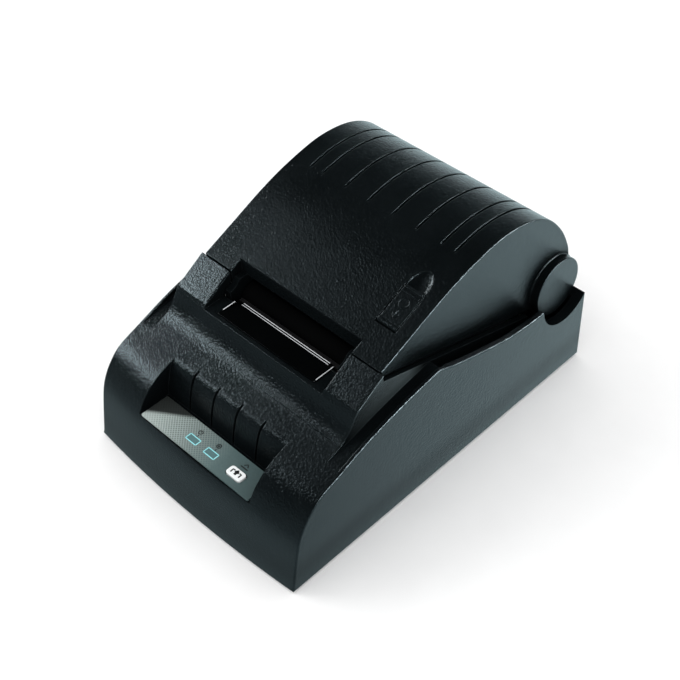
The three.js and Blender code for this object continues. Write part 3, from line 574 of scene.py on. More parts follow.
def scoop_cut():
    """Finger scoop behind the latch, an oval hollow that is deepest against the lever."""
    centre_y = 85.2
    reach, half, depth = 7.4, 4.7, 1.6
    levels, count = 8, 40
    rings = []
    for level in range(levels + 1):
        angle = math.pi / 2 * level / levels
        share, down = math.cos(angle * 0.97), math.sin(angle) * depth
        ring = []
        for i in range(count):
            a = 2 * math.pi * i / count
            y = centre_y + reach * share * math.sin(a) * (1.0 if math.sin(a) > 0 else 0.05)
            x = LATCH_MIDDLE + half * share * math.cos(a)
            ring.append((x, y, lid_surface(y) - down))
        rings.append(ring)
    over_lid = [(x, y, z + 3.0) for x, y, z in rings[0]]
    return loft([over_lid, *rings])


def make_lid(material):
    """One shell: top and sides, with its rear skirt, hinge bosses, platen cheeks and latch block."""
    front = (SEAM_Y + 0.4, LID_EDGE_FRONT[1] + 0.1)
    sides = prism([*LID_CURVE, *arc(HINGE, BOSS_R, 30, -148, 48), front], -LID_HALF, LID_HALF)
    round_sides(sides, (-LID_HALF, LID_HALF), radius=0.55, segments=4)
    inside = offset(LID_CURVE, -LID_THICK)
    hollow = prism([(50, 20), (50, inside[0][1] - 2), *inside, (164, 48), (170, 20)], -LID_INNER, LID_INNER)
    cut(sides, hollow)

    def under_top(y):
        return y, lid_surface(y) - 1

    skirt = prism([*arc(HINGE, BOSS_R, 42, -62, 40), *arc(HINGE, BOSS_R - LID_THICK, -62, 42, 40)],
                  -SKIRT_HALF, SKIRT_HALF)
    bosses = [boss(side) for side in BOTH_SIDES]
    cheek = [(CHEEK_FRONT, 49.4), (56, 47.5), (CHEEK_BACK, 47.5), under_top(CHEEK_BACK), under_top(57),
             (57, 60.5), (54.5, 58), (CHEEK_FRONT, 57)]
    wall_front = SEAM_Y + 0.6
    end_wall = [(wall_front, 57.5), (CHEEK_BACK, 57.5), under_top(CHEEK_BACK), under_top(wall_front)]
    cross_wall = prism([under_top(SLOT_BACK), (SLOT_BACK, 60), (62.4, 60), (62.4, 66)], -SLOT_HALF, SLOT_HALF)
    latch_block = prism([(69, 66.4), (73, 66.4), under_top(73), under_top(69)], 29, 42.4)
    join(sides, skirt, *bosses, *mirrored(cheek, CHEEK_INNER_X, SLOT_HALF - GAP),
         *mirrored(end_wall, SLOT_HALF - SLIVER, SLOT_HALF + SLOT_END), cross_wall, latch_block)

    slot = block((-SLOT_HALF, SLOT_HALF), (50, SLOT_BACK), (60.6, 80))
    gap = GAP + 0.1
    well_x, well_y = ((low - gap, high + gap) for low, high in (LATCH_X, LATCH_Y))
    well = rounded_plate(well_x, well_y, (60, ROOF), 0.5, 3)
    bores = [
        rod(LATCH_PIN_R + 0.05, 29.6, 41.8, *LATCH_AXIS, 24),
        rod(1.65, -32, 32, *PLATEN, 32),
        rod(PIN_R + 0.1, LID_INNER - 1, 49, *HINGE, 40),
        rod(PIN_R + 0.1, -49, -LID_INNER + 1, *HINGE, 40),
    ]
    cut(sides, slot, well, *bores, *vent_cuts(), scoop_cut(), *slot_rims(LID_CURVE, SEAM_Y, SLOT_BACK))
    return settle(clean(sides), "lid_shell", "lid", material, ["lid"])


def boss(side):
    """Round hinge boss: a small fillet at the lid's side, then the drum with a rounded face edge."""
    profile = [(LID_INNER, BOSS_R), (LID_HALF - 0.1, BOSS_R + 0.5), (LID_HALF + 0.1, BOSS_R + 0.2),
               (LID_HALF + 0.4, BOSS_R), (BOSS_FACE - 0.5, BOSS_R), (BOSS_FACE - 0.25, BOSS_R - 0.07),
               (BOSS_FACE - 0.07, BOSS_R - 0.25), (BOSS_FACE, BOSS_R - 0.5)]
    return loft([[(side * x, y, z) for y, z in circle(HINGE, radius, 72)] for x, radius in profile])


# ---------------------------------------------------------------- latch lever

def make_latch(material):
    """The lever that follows the lid's top, with its barrel, its hook and two grip ridges."""
    x0, x1 = LATCH_X
    steps = 16
    run = [LATCH_AXIS[0] + (LATCH_Y[1] - LATCH_AXIS[0]) * i / steps for i in range(steps + 1)]
    top = [(y, lid_surface(y)) for y in run]
    under = [(y, z - 2) for y, z in reversed(top)]
    lever = round_sides(prism([*top, *under], x0, x1), (x0, x1), radius=0.35, segments=3)
    barrel = rod(1.65, x0, x1, *LATCH_AXIS, 40)
    grips = [rod(0.5, x0 + 0.6, x1 - 0.6, y, lid_surface(y) - 0.02, 24) for y in (82.2, 83.8)]
    hook = prism([(70, 69), (70, 56.4), (68.6, 55.6), (68.6, 54.4), (70, 53.6), (72.2, 53.6), (72.2, 69)],
                 34.4, 37.4)
    join(lever, barrel, hook, *grips)
    cut(lever, rod(LATCH_PIN_R + 0.1, x0 - 1, x1 + 1, *LATCH_AXIS, 24))
    return settle(clean(lever), "latch_lever_body", "latch", material, ["latch_lever"])


def on_lever(across, y):
    """A point on top of the lever, across from its middle line."""
    return Vector((LATCH_MIDDLE + across, y, lid_surface(y)))


def make_latch_marks(material):
    """A plain ring and an arrow, raised on the lever."""
    ring = [on_lever(x, y) for x, y in arc((0, 78.6), 1.9, 0, 360, 36)]
    arrow = [on_lever(-1.5, 74.4), on_lever(0, 72.6), on_lever(1.5, 74.4)]
    stem = [on_lever(0, 72.8), on_lever(0, 75.6)]
    marks = [tube(path, 0.22) for path in (ring, arrow, stem)]
    return settle(merge(marks), "latch_marks", "latch", material)


# ---------------------------------------------------------------- small shapes

def tube(path, radius, count=8):
    """A round bead along a path of points."""
    rings = []
    for i, point in enumerate(path):
        along = (path[min(i + 1, len(path) - 1)] - path[max(i - 1, 0)]).normalized()
        side = along.cross(Vector((0, 0, 1)))
        side = side.normalized() if side.length > 1e-6 else Vector((1, 0, 0))
        up = side.cross(along)
        rings.append([point + radius * (math.cos(a) * side + math.sin(a) * up)
                      for a in (2 * math.pi * k / count for k in range(count))])
    return loft(rings)


def merge(pieces):
    """Several shapes as one object, without joining their skins."""
    bm = bmesh.new()
    for piece in pieces:
        bm.from_mesh(piece.data)
        bpy.data.objects.remove(piece)
    return shape(bm)


# ---------------------------------------------------------------- tear bar

def make_tear_bar(material, highlight_paint):
    """A thin steel plate, near black as painted shade, with a finely toothed rear edge, and light grey strips
    along its edges as painted highlights.
    """
    x0, x1 = node_span("tear_bar", 0)
    y0, y1 = node_span("tear_bar", 1)
    z0, z1 = node_span("tear_bar", 2)
    overhang = 0.8
    y1 += overhang
    grind = y1 - 0.9
    land = 0.1
    teeth = 43
    tooth = 0.4
    rings = []
    for i in range(2 * teeth + 1):
        x = x0 + (x1 - x0) * i / (2 * teeth)
        back = y1 if i % 2 else y1 - tooth
        rings.append([(x, y0, z0), (x, back, z0), (x, back, z0 + land), (x, grind, z1), (x, y0, z1)])
    settle(loft(rings), "tear_bar_plate", "base", material, ["tear_bar"], 0.06)

    # light grey strips that stand in for glints along the plate's edges: painted highlights
    line = 0.24
    gap = 0.72
    back = y1 - tooth - line
    edge = (x0 + 3.4, x1 - 2.2)
    level = (z1 - 0.1, z1 + 0.05)
    highlight_strips = [block(edge, (back, back + line), level),
              block(edge, (back - gap - line, back - gap), level),
              block((x0 - 0.02, x0 + 1.3 * line), (y0 + 2.6, y1 - 2.0), level),
              block((x1 - line, x1 + 0.02), (y0 + 1.0, y1 - 1.0), level)]
    settle(merge(highlight_strips), "tear_bar_painted_highlight", "base", highlight_paint)


# ---------------------------------------------------------------- control panel

MARK_LIFT = 0.03
STROKE = 0.42
THIN_STROKE = 0.36
BOLD_STROKE = 0.5


def mark(points, width, top):
    """A flat printed stroke along a path of (x, y) points, on a face at height top."""
    rings = []
    for i, (x, y) in enumerate(points):
        ahead = Vector(points[min(i + 1, len(points) - 1)])
        behind = Vector(points[max(i - 1, 0)])
        along = (ahead - behind).normalized()
        sx, sy = -along.y * width / 2, along.x * width / 2
        rings.append([(x - sx, y - sy, top), (x + sx, y + sy, top),
                      (x + sx, y + sy, top + MARK_LIFT), (x - sx, y - sy, top + MARK_LIFT)])
    return loft(rings)


def make_panel(film, ink, cyan, lens, white):
    """The printed film, the two windows and the button, with plain signs in place of words."""
    x0, x1 = node_span("label_plate", 0)
    y0, y1 = node_span("label_plate", 1)
    z0, z1 = node_span("label_plate", 2)
    plate = cut(rounded_plate((x0, x1), (y0, y1), (z0, z1), 0.5), *panel_holes(z0 - 1, z1 + 1))
    settle(clean(plate), "panel_film", "base", film, ["label_plate"], 0.06)

    for lens_name, x in zip(("power_lens", "status_lens"), LED_X):
        low, high = node_span(lens_name, 2)
        window = plate_at((x, LED_Y), LED_HALF, 0, (low, high), 0.25, 3)
        flange = plate_at((x, LED_Y), LED_HALF, 0.9, (low, low + 2.4), 0.5, 3)
        settle(join(window, flange), lens_name + "_window", "base", lens, [lens_name], 0.08)

    w, h = LED_HALF[0] + 0.28, LED_HALF[1] + 0.28
    frames = []
    for x in LED_X:
        loop = [(x, LED_Y - h), (x + w, LED_Y - h), (x + w, LED_Y + h),
                (x - w, LED_Y + h), (x - w, LED_Y - h), (x, LED_Y - h)]
        frames += [mark(side, STROKE, z1) for side in zip(loop, loop[1:])]
    settle(merge(frames), "window_frames", "base", cyan)

    first, second = LED_X
    x, y = BUTTON
    signs = [
        mark(arc((first - 0.4, 13.4), 0.85, 120, 420, 28), STROKE, z1),
        mark([(first - 0.4, 13.3), (first - 0.4, 14.6)], STROKE, z1),
        mark([(first, 10.9), (first, 12.1)], THIN_STROKE, z1),
        mark(arc((second - 0.4, 13.6), 0.9, 0, 360, 28), STROKE, z1),
        mark(arc((second - 0.4, 13.6), 0.25, 0, 360, 28), STROKE, z1),
        mark([(second, 10.9), (second, 12.1)], THIN_STROKE, z1),
        mark([(x - 1.8, 13.0), (x + 1.8, 13.0)], BOLD_STROKE, z1),
        mark([(x - 1.0, 13.9), (x, 15.0), (x + 1.0, 13.9)], BOLD_STROKE, z1),
    ]
    settle(merge(signs), "panel_signs", "base", ink)

    low, high = node_span("feed_button", 2)
    stem = plate_at(BUTTON, BUTTON_HALF, 0, (low + 0.9, high), 1.25, 8)
    skirt = plate_at(BUTTON, BUTTON_HALF, 1, (low, low + 0.95), 1.5, 6)
    settle(join(stem, skirt), "feed_button_cap", "feed_key", white, ["feed_button"], 0.28, 4)

    icon = [
        mark([(x - 2.1, y - 0.9), (x - 2.1, y + 0.7), (x - 1.2, y + 0.7)], 0.62, high),
        mark([(x + 2.1, y - 0.9), (x + 2.1, y + 0.7), (x + 1.2, y + 0.7)], 0.62, high),
        mark([(x, y - 0.9), (x, y + 1.0)], 1.1, high),
        mark([(x - 0.9, y + 0.2), (x, y + 1.3), (x + 0.9, y + 0.2)], 0.7, high),
    ]
    settle(merge(icon), "feed_button_sign", "feed_key", ink)


# ---------------------------------------------------------------- materials

def node(tree, kind, settings=None, **inputs):
    """A shader node with its properties and inputs set; an input given as a socket is linked."""
    made = tree.nodes.new("ShaderNode" + kind)
    for key, value in (settings or {}).items():
        setattr(made, key, value)
    for key, value in inputs.items():
        wire(tree, made.inputs[key.replace("_", " ")], value)
    return made


def wire(tree, socket, value):
    """Links a socket to another one, or sets its value."""
    if isinstance(value, bpy.types.NodeSocket):
        tree.links.new(value, socket)
    else:
        socket.default_value = value


def calc(tree, operation, a, b=0.0):
    """One Math node."""
    made = node(tree, "Math", {"operation": operation})
    wire(tree, made.inputs[0], a)
    wire(tree, made.inputs[1], b)
    return made.outputs[0]


def remap(tree, value, low, high, to_low, to_high):
    """A value from the range low to high, carried over to another range and clamped there."""
    made = node(tree, "MapRange", Value=value, From_Min=low, From_Max=high, To_Min=to_low, To_Max=to_high)
    return made.outputs["Result"]


def mix(tree, factor, a, b, blend="MIX"):
    """A colour between a and b, or their product when blend is MULTIPLY."""
    made = node(tree, "Mix", {"data_type": "RGBA", "blend_type": blend})
    for index, value in ((0, factor), (6, a), (7, b)):
        wire(tree, made.inputs[index], value)
    return made.outputs[2]


def noise(tree, size, detail, stretch=(1, 1, 1)):
    """Noise whose features are about size metres across."""
    where = node(tree, "TexCoord").outputs["Object"]
    if stretch != (1, 1, 1):
        where = node(tree, "Mapping", Vector=where, Scale=stretch).outputs[0]
    return node(tree, "TexNoise", Vector=where, Scale=1 / size, Detail=detail).outputs["Fac"]


def edge_mask(tree, radius):
    """1 near a sharp edge, 0 on open faces."""
    bevel = node(tree, "Bevel", {"samples": 4}, Radius=radius)
    face = node(tree, "NewGeometry")
    dot = node(tree, "VectorMath", {"operation": "DOT_PRODUCT"})
    tree.links.new(bevel.outputs[0], dot.inputs[0])
    tree.links.new(face.outputs["Normal"], dot.inputs[1])
    return remap(tree, dot.outputs["Value"], 0.995, 0.86, 0.0, 1.0)


def in_case(value, axis="z"):
    """A case dimension in mm as a row coordinate in metres."""
    return (value + {"x": 0.0, "y": FRONT, "z": LIFT}[axis]) * MM


def axes(tree):
    """The shaded point's x, y and z in the row frame, in metres."""
    place = node(tree, "SeparateXYZ", Vector=node(tree, "TexCoord").outputs["Object"])
    return [place.outputs[axis] for axis in "XYZ"]


def largest(tree, *values):
    """The greatest of several values."""
    found = values[0]
    for value in values[1:]:
        found = calc(tree, "MAXIMUM", found, value)
    return found


def painted_shade_factor(tree, reach):
    """Painted shade for the gloss: 1 on open faces, near 0 in gaps, in the paper slot and low in the recess.

    Everything near the floor counts as open, so that the floor itself does not darken the walls.
    """
    hollow = node(tree, "AmbientOcclusion", {"samples": 8}, Distance=reach).outputs["AO"]
    x, y, z = axes(tree)
    across = calc(tree, "ABSOLUTE", x)
    # painted shade: how far the gloss is dimmed in the paper slot and low in the recess
    slot_painted_shade, recess_painted_shade = 0.08, 0.05
    slot = largest(
        tree,
        remap(tree, across, in_case(SLOT_HALF + 0.05, "x"), in_case(SLOT_HALF + 0.3, "x"), slot_painted_shade, 1),
        remap(tree, y, in_case(42.4, "y"), in_case(43.4, "y"), 1, slot_painted_shade),
        remap(tree, y, in_case(SLOT_BACK + 0.05, "y"), in_case(SLOT_BACK + 0.3, "y"), slot_painted_shade, 1),
    )
    recess = largest(
        tree,
        remap(tree, across, in_case(RECESS_HALF + 0.05, "x"), in_case(RECESS_HALF + 0.2, "x"), 0, 1),
        remap(tree, y, in_case(27, "y"), in_case(28, "y"), 0, 1),
        remap(tree, z, in_case(RECESS_FLOOR - 0.4), in_case(RECESS_FLOOR + 0.2), 1, 0),
        remap(tree, z, in_case(31), in_case(41.5), recess_painted_shade, 1),
    )
    painted_shade_masks = calc(tree, "MULTIPLY", slot, recess)
    painted_hollow_shade = calc(tree, "MULTIPLY", remap(tree, hollow, 0.66, 0.97, 0.01, 1), painted_shade_masks)
    return calc(tree, "MAXIMUM", painted_hollow_shade, remap(tree, z, 0.0, 0.02, 1, 0))


def painted_sheen_on_neck_walls(tree):
    """Where a painted sheen lightens the neck's own side walls: 1 there, fading out to the front and to the
    rear.
    """
    x, y, _ = axes(tree)
    across = calc(tree, "ABSOLUTE", x)
    along = calc(tree, "MULTIPLY", remap(tree, y, in_case(36, "y"), in_case(64, "y"), 0, 1),
                 remap(tree, y, in_case(68, "y"), in_case(76, "y"), 1, 0))
    band = calc(tree, "MULTIPLY",
                remap(tree, across, in_case(NECK_HALF - 0.4, "x"), in_case(NECK_HALF - 0.2, "x"), 0, 1),
                remap(tree, across, in_case(NECK_HALF + 0.2, "x"), in_case(NECK_HALF + 0.4, "x"), 1, 0))
    return calc(tree, "MULTIPLY", along, band)


def surface(name, colour, roughness, metallic=0.0, grain=0.0, grain_size=0.0005, spread=0.12, tint=None,
            wear=None, brushed=None, ior=1.46, coat=0.0, rounding=0.0, gloss=0.5, reach=0.0,
            walls=None):
    """A general procedural surface: colour and roughness that vary, grain, and wear along edges.

    With a reach in metres, painted shade dims its gloss in hollows, in the paper slot and low in the recess.
    A colour for walls is a painted sheen on the neck's sides.
    """
    material = bpy.data.materials.new(name)
    material.use_nodes = True
    tree = material.node_tree
    shader = tree.nodes["Principled BSDF"]
    cloud = noise(tree, 0.018, 3)
    fine = noise(tree, 0.0016, 3)
    dark = tuple(c * (1 - spread) for c in colour) + (1,)
    light = tuple(min(c * (1 + spread), 1) for c in colour) + (1,)
    base = mix(tree, remap(tree, cloud, 0.3, 0.7, 0, 1), dark, light)
    rough = calc(tree, "ADD", remap(tree, cloud, 0.3, 0.7, roughness - 0.03, roughness + 0.03),
                 remap(tree, fine, 0.3, 0.7, -0.02, 0.02))
    if wear:
        mask = calc(tree, "MULTIPLY", edge_mask(tree, 0.0005), remap(tree, fine, 0.35, 0.65, 0.3, 1.0))
        base = mix(tree, calc(tree, "MULTIPLY", mask, 0.6), base, wear + (1,))
        rough = calc(tree, "SUBTRACT", rough, calc(tree, "MULTIPLY", mask, 0.06))
    if walls:
        # painted sheen: the neck's side walls are lightened where they would reflect the bright floor
        base = mix(tree, painted_sheen_on_neck_walls(tree), base, walls + (1,))
    wire(tree, shader.inputs["Base Color"], base)
    wire(tree, shader.inputs["Roughness"], rough)
    shader.inputs["Metallic"].default_value = metallic
    shader.inputs["IOR"].default_value = ior
    shader.inputs["Coat Weight"].default_value = coat
    shader.inputs["Specular IOR Level"].default_value = gloss
    # painted shade: the gloss is dimmed in hollows, in the paper slot and low in the recess
    if reach:
        wire(tree, shader.inputs["Specular IOR Level"], calc(tree, "MULTIPLY", painted_shade_factor(tree, reach), gloss))
    if tint:
        shader.inputs["Specular Tint"].default_value = tint + (1,)
    if grain:
        height = noise(tree, grain_size, 2, stretch=brushed or (1, 1, 1))
        if not brushed:
            height = calc(tree, "ADD", height, calc(tree, "MULTIPLY", noise(tree, grain_size * 1.7, 1), 0.35))
        bump = node(tree, "Bump", Strength=1.0, Distance=grain, Height=height)
        if rounding:
            wire(tree, bump.inputs["Normal"], node(tree, "Bevel", {"samples": 6}, Radius=rounding).outputs[0])
        wire(tree, shader.inputs["Normal"], bump.outputs[0])
    return material


COOL = (0.72, 0.92, 1.0)            # tint of the plastic's reflections
WEAVE_PITCH = 0.00135
SHADE_SLOPE = 0.64                  # run of the recess's shadow over the film
SHADE_EDGE = in_case(24.3, "y")     # where that shadow starts, on the middle line
SHADE_BLUR = 0.002


def black_plastic():
    """Spark-grained black ABS: two sizes of grain, soft sheen changes and edges polished by handling, with
    painted shade that dims its gloss in hollows and a painted sheen on the neck's side walls.
    """
    # reach gives painted shade in hollows; the walls colour is a painted sheen on the neck's sides
    return surface("case_abs", (0.0026, 0.0037, 0.0042), 0.17, grain=0.0002, grain_size=0.0007, spread=0.2,
                   tint=COOL, wear=(0.02, 0.024, 0.026), ior=1.55, rounding=0.00035, reach=0.02,
                   walls=(0.055, 0.07, 0.074))


def panel_print():
    """Silver-grey film that darkens to the right, with a fine diagonal weave over its light end and a painted
    shadow of the recess's left wall over its rear-left corner.
    """
    material = surface("panel_film", (0.2, 0.2, 0.2), 0.36, grain=0.000008, grain_size=0.0003)
    tree = material.node_tree
    x, y, _ = axes(tree)
    along = remap(tree, x, -RECESS_HALF * MM, RECESS_HALF * MM, 0, 1)
    ramp = node(tree, "ValToRGB", Fac=along)
    stops = ramp.color_ramp.elements
    stops[0].color = (0.33, 0.37, 0.35, 1)
    stops[1].color = (0.042, 0.072, 0.074, 1)
    stops.new(0.22).color = (0.15, 0.19, 0.18, 1)
    stops.new(0.42).color = (0.095, 0.135, 0.13, 1)
    stops.new(0.62).color = (0.085, 0.135, 0.135, 1)
    lines = []
    for sign in (1, -1):
        across = calc(tree, "ADD", x, calc(tree, "MULTIPLY", y, sign))
        wave = calc(tree, "SINE", calc(tree, "MULTIPLY", across, 2 * math.pi / WEAVE_PITCH))
        lines.append(remap(tree, wave, 0.3, 0.8, 0, 1))
    weave = calc(tree, "MULTIPLY", largest(tree, *lines), remap(tree, along, 0.1, 0.66, 1.0, 0.0))
    print_colour = mix(tree, weave, ramp.outputs["Color"], (0.42, 0.49, 0.47, 1))
    # painted shadow of the recess's left wall over the film's rear-left corner
    from_edge = calc(tree, "SUBTRACT", y, calc(tree, "MULTIPLY", x, SHADE_SLOPE))
    lit = remap(tree, from_edge, SHADE_EDGE, SHADE_EDGE + SHADE_BLUR, 1.0, 0.07)
    shadow_and_speckle = calc(tree, "MULTIPLY", lit, remap(tree, noise(tree, 0.0009, 3), 0.3, 0.7, 0.93, 1.05))
    tone = mix(tree, 1.0, print_colour, shadow_and_speckle, "MULTIPLY")
    wire(tree, tree.nodes["Principled BSDF"].inputs["Base Color"], tone)
    return material


def make_finishes():
    """One material for each material slot."""
    return {
        "case_black": black_plastic(),
        "inner_black": surface("inner_plastic", (0.006, 0.007, 0.0078), 0.5, grain=0.00004, spread=0.25,
                               wear=(0.03, 0.03, 0.032)),
        "steel": surface("bright_steel", (0.52, 0.53, 0.55), 0.28, 1.0, grain=0.000008, grain_size=0.0012,
                         brushed=(1, 9, 9), wear=(0.7, 0.7, 0.72)),
        "aluminium": surface("satin_aluminium", (0.6, 0.62, 0.63), 0.34, 1.0, grain=0.00001, grain_size=0.002,
                             brushed=(0.6, 9, 9), wear=(0.75, 0.76, 0.78)),
        # very low gloss, dimmed further in hollows: painted shade for the platen deep in the slot; the black
        # is the rubber's own
        "rubber": surface("black_rubber", (0.0016, 0.0017, 0.0018), 0.85, grain=0.00005, grain_size=0.0007,
                          gloss=0.03, reach=0.02),
        "label_silver": panel_print(),
        "lens_cyan": surface("smoked_window", (0.1, 0.19, 0.195), 0.14, grain=0.000004, coat=0.5),
        "button_white": surface("white_key", (0.82, 0.85, 0.85), 0.36, grain=0.00001, grain_size=0.0008,
                                spread=0.02, wear=(0.9, 0.9, 0.9)),
        "gear_white": surface("acetal", (0.66, 0.65, 0.61), 0.42, grain=0.00001, spread=0.05,
                              wear=(0.8, 0.78, 0.74)),
        "board_green": surface("solder_mask", (0.012, 0.085, 0.035), 0.34, grain=0.00002, grain_size=0.0015,
                               spread=0.35, wear=(0.3, 0.22, 0.08)),
        # near black with little gloss: painted shade of the slot over the thermal head, whose ceramic is pale
        "ceramic": surface("ceramic_painted_dark_as_shade", (0.008, 0.008, 0.0085), 0.3, grain=0.000006, spread=0.05,
                           gloss=0.1),
        "cable_white": surface("cable_film", (0.68, 0.71, 0.73), 0.38, grain=0.00001, grain_size=0.0008,
                               brushed=(9, 0.4, 0.4), spread=0.05),
        "port_grey": surface("connector_plastic", (0.035, 0.037, 0.04), 0.46, grain=0.00003, spread=0.2,
                             wear=(0.1, 0.1, 0.11)),
    }


# ---------------------------------------------------------------- the other CAD nodes

FINISH_OF = {
    "inner_black": ["bottom_plate", "paper_bin", "paper_guide", "switch_body", "switch_rocker"],
    "steel": ["case_screw_1", "case_screw_2", "case_screw_3", "case_screw_4", "hinge_pin_right",
              "hinge_pin_left", "latch_pin", "print_frame", "head_pivot_rod", "head_spring_left",
              "head_spring_right", "stepper_motor", "motor_shaft", "idler_stud", "idler_clip",
              "platen_shaft", "usb_port"],
    "rubber": ["foot_front_right", "foot_front_left", "foot_rear_right", "foot_rear_left", "platen_rubber"],
    "button_white": ["power_led", "status_led"],
    "port_grey": ["feed_key_switch", "paper_sensor", "power_jack", "drawer_port"],
    "board_green": ["panel_board", "main_board"],
    "aluminium": ["heat_sink"],
    "ceramic": ["thermal_head"],
    "cable_white": ["head_cable"],
    "gear_white": ["motor_pinion", "idler_gear", "platen_gear", "platen_bushing_right",
                   "platen_bushing_left"],
}
EDGE_MM = {"head_cable": 0.05, "head_spring_left": 0.04, "head_spring_right": 0.04, "motor_pinion": 0.08,
           "idler_gear": 0.1, "platen_gear": 0.1, "thermal_head": 0.12, "idler_clip": 0.06, "usb_port": 0.12,
           "bottom_plate": 0.3, "paper_bin": 0.3, "switch_rocker": 0.3, "foot_front_right": 0.5,
           "foot_front_left": 0.5, "foot_rear_right": 0.5, "foot_rear_left": 0.5}
USUAL_EDGE_MM = 0.18


def dress(piece, material):
    """Rounded edges and a finish for a CAD node, whose own vertices stay as they are."""
    mesh = piece.data
    if "custom_normal" in mesh.attributes:
        mesh.attributes.remove(mesh.attributes["custom_normal"])
    mesh.materials.clear()
    mesh.materials.append(material)
    weld = piece.modifiers.new("weld", "WELD")
    weld.merge_threshold = 0.00001
    flat = piece.modifiers.new("flat", "DECIMATE")
    flat.decimate_type = "DISSOLVE"
    flat.angle_limit = math.radians(1.0)
    soften(piece, EDGE_MM.get(piece.name, USUAL_EDGE_MM) * MM, 2, 35)
    piece.modifiers["edge"].use_clamp_overlap = True


# ---------------------------------------------------------------- studio

CAMERA_AT = Vector((0.262, -0.244, 0.388))
LOOK_AT = Vector((0.0035, -0.0037, 0.0363))
ROLL = math.radians(-3.025)
LENS = 68.49
SENSOR = 36.0


def make_camera():
    """A camera at a fixed place, aimed at a point and turned a little about its own axis."""
    data = bpy.data.cameras.new("camera")
    data.sensor_width = SENSOR
    data.lens = LENS
    data.clip_start = 0.01
    data.clip_end = 20
    camera = bpy.data.objects.new("camera", data)
    back = (CAMERA_AT - LOOK_AT).normalized()
    right = Vector((0, 0, 1)).cross(back).normalized()
    up = back.cross(right)
    turned_right = math.cos(ROLL) * right + math.sin(ROLL) * up
    turned_up = back.cross(turned_right)
    camera.matrix_world = Matrix((turned_right, turned_up, back)).transposed().to_4x4()
    camera.location = CAMERA_AT
    bpy.context.scene.collection.objects.link(camera)
    bpy.context.scene.camera = camera


def make_floor():
    """A pale floor far wider than the printer; in reflections it only glows, brighter to the rear."""
    half_size = 4.0
    clear = 0.00002
    bm = bmesh.new()
    bmesh.ops.create_grid(bm, x_segments=8, y_segments=8, size=half_size)
    floor = shape(bm)
    floor.name = "floor"
    floor.location.z = CAD_BOX[0].z - clear
    paint = surface("floor_paint", (0.9, 0.9, 0.9), 0.8, spread=0.01, grain=0.00002, grain_size=0.004,
                    gloss=0.1)
    tree = paint.node_tree
    shader = tree.nodes["Principled BSDF"]
    seen = shader.inputs["Base Color"].links[0].from_socket
    glossy = node(tree, "LightPath").outputs["Is Glossy Ray"]
    wire(tree, shader.inputs["Base Color"], mix(tree, glossy, seen, (0, 0, 0, 1)))
    glow = remap(tree, axes(tree)[1], -0.15, 0.12, 0.18, 1.08)
    wire(tree, shader.inputs["Emission Color"], (0.76, 0.96, 1.0, 1))
    wire(tree, shader.inputs["Emission Strength"], calc(tree, "MULTIPLY", glossy, glow))
    floor.data.materials.append(paint)


def make_world():
    """White for the camera and for soft light; reflections see a bright horizon, dim above and in front."""
    world = bpy.data.worlds.new("studio")
    world.use_nodes = True
    tree = world.node_tree
    direction = node(tree, "SeparateXYZ", Vector=node(tree, "TexCoord").outputs["Generated"])
    ramp = node(tree, "ValToRGB", Fac=direction.outputs["Z"])
    stops = ramp.color_ramp.elements
    stops[0].color = (1, 1, 1, 1)
    stops[1].color = (0.015, 0.015, 0.015, 1)
    for position, grey in ((0.12, 0.6), (0.35, 0.12), (0.6, 0.03)):
        stops.new(position).color = (0.76 * grey, 0.96 * grey, grey, 1)
    front = remap(tree, direction.outputs["Y"], -0.8, 0.4, 0.3, 1.0)
    dimmed = mix(tree, 1.0, ramp.outputs["Color"], front, "MULTIPLY")
    glossy = node(tree, "LightPath").outputs["Is Glossy Ray"]
    colour = mix(tree, glossy, (1.2, 1.2, 1.2, 1), dimmed)
    wire(tree, tree.nodes["Background"].inputs["Color"], colour)
    tree.nodes["Background"].inputs["Strength"].default_value = 1.0
    world.cycles.sampling_method = "NONE"
    bpy.context.scene.world = world


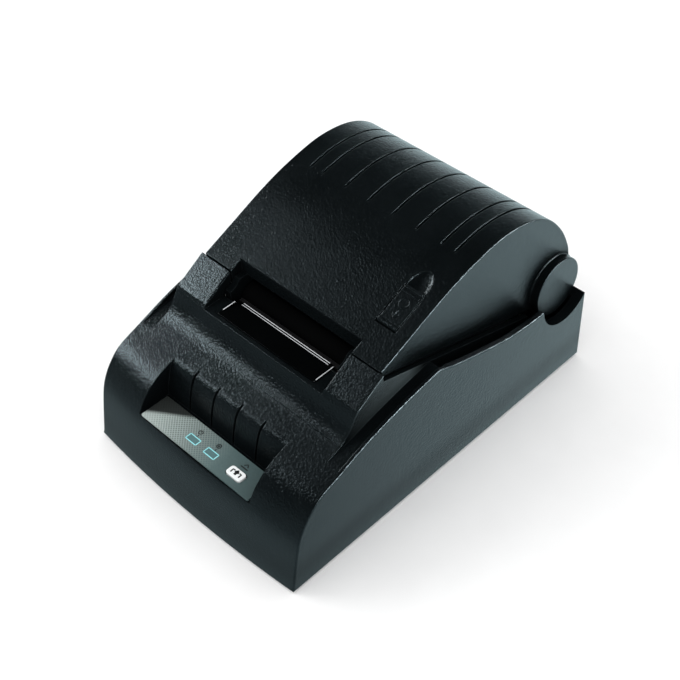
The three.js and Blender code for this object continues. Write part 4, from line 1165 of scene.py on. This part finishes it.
def area_light(name, place, target, width, height, power):
    """A rectangular light, unseen by the camera, aimed at a point; sizes in metres, power in watts."""
    data = bpy.data.lights.new(name, "AREA")
    data.shape = "RECTANGLE"
    data.size = width
    data.size_y = height
    data.energy = power
    light = bpy.data.objects.new(name, data)
    light.location = place
    light.rotation_euler = (Vector(target) - Vector(place)).to_track_quat("-Z", "Y").to_euler()
    light.visible_camera = False
    bpy.context.scene.collection.objects.link(light)
    return light


def make_lights():
    """Four lights seen only in reflections, for the highlights, and a key light that makes none."""
    sheen = area_light("softbox_left", (-0.291, -0.206, 0.248), (-0.07, -0.05, 0.05), 0.1, 0.1, 0.0145)
    sheen.data.spread = math.radians(30)
    glow = area_light("softbox_high", (-0.278, -0.11, 0.36), (-0.03, -0.02, 0.06), 0.12, 0.12, 0.05)
    rim = area_light("strip_right", (0.5, 0.2, 0.3), (0, 0, 0.05), 0.85, 0.1, 11)
    low = area_light("strip_left", (-0.5, -0.06, 0.23), (0, 0, 0.05), 0.3, 0.08, 1.2)
    for light in (sheen, glow, rim, low):
        light.visible_diffuse = False
    key = area_light("key_left", (-0.5, -0.3, 0.62), (0, 0, 0.03), 0.3, 0.3, 1.4)
    key.visible_glossy = False


finishes = make_finishes()
cyan_paint = surface("cyan_print", (0.3, 0.74, 0.78), 0.4, grain=0.000004, spread=0.06)
ink = surface("black_print", (0.012, 0.013, 0.014), 0.4, grain=0.000004, spread=0.2)

make_case(finishes["case_black"])
make_lid(finishes["case_black"])
make_latch(finishes["case_black"])
make_latch_marks(finishes["case_black"])
# near-black steel for the tear bar plate: painted shade of the slot it lies in
dark_shaded_steel = surface("steel_painted_dark_as_shade", (0.05, 0.053, 0.056), 0.16, 1.0, grain=0.000003, grain_size=0.0006)
# painted highlights for the tear bar's edges
painted_edge_highlight = surface("painted_edge_highlight", (0.6, 0.62, 0.64), 0.5, grain=0.000006, grain_size=0.0004, spread=0.1)
make_tear_bar(dark_shaded_steel, painted_edge_highlight)
make_panel(finishes["label_silver"], ink, cyan_paint, finishes["lens_cyan"], finishes["button_white"])
for slot_name, names in FINISH_OF.items():
    for cad_name in names:
        dress(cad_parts[cad_name], finishes[slot_name])

make_floor()
make_world()
make_lights()
make_camera()
bpy.context.scene.view_settings.view_transform = "Standard"
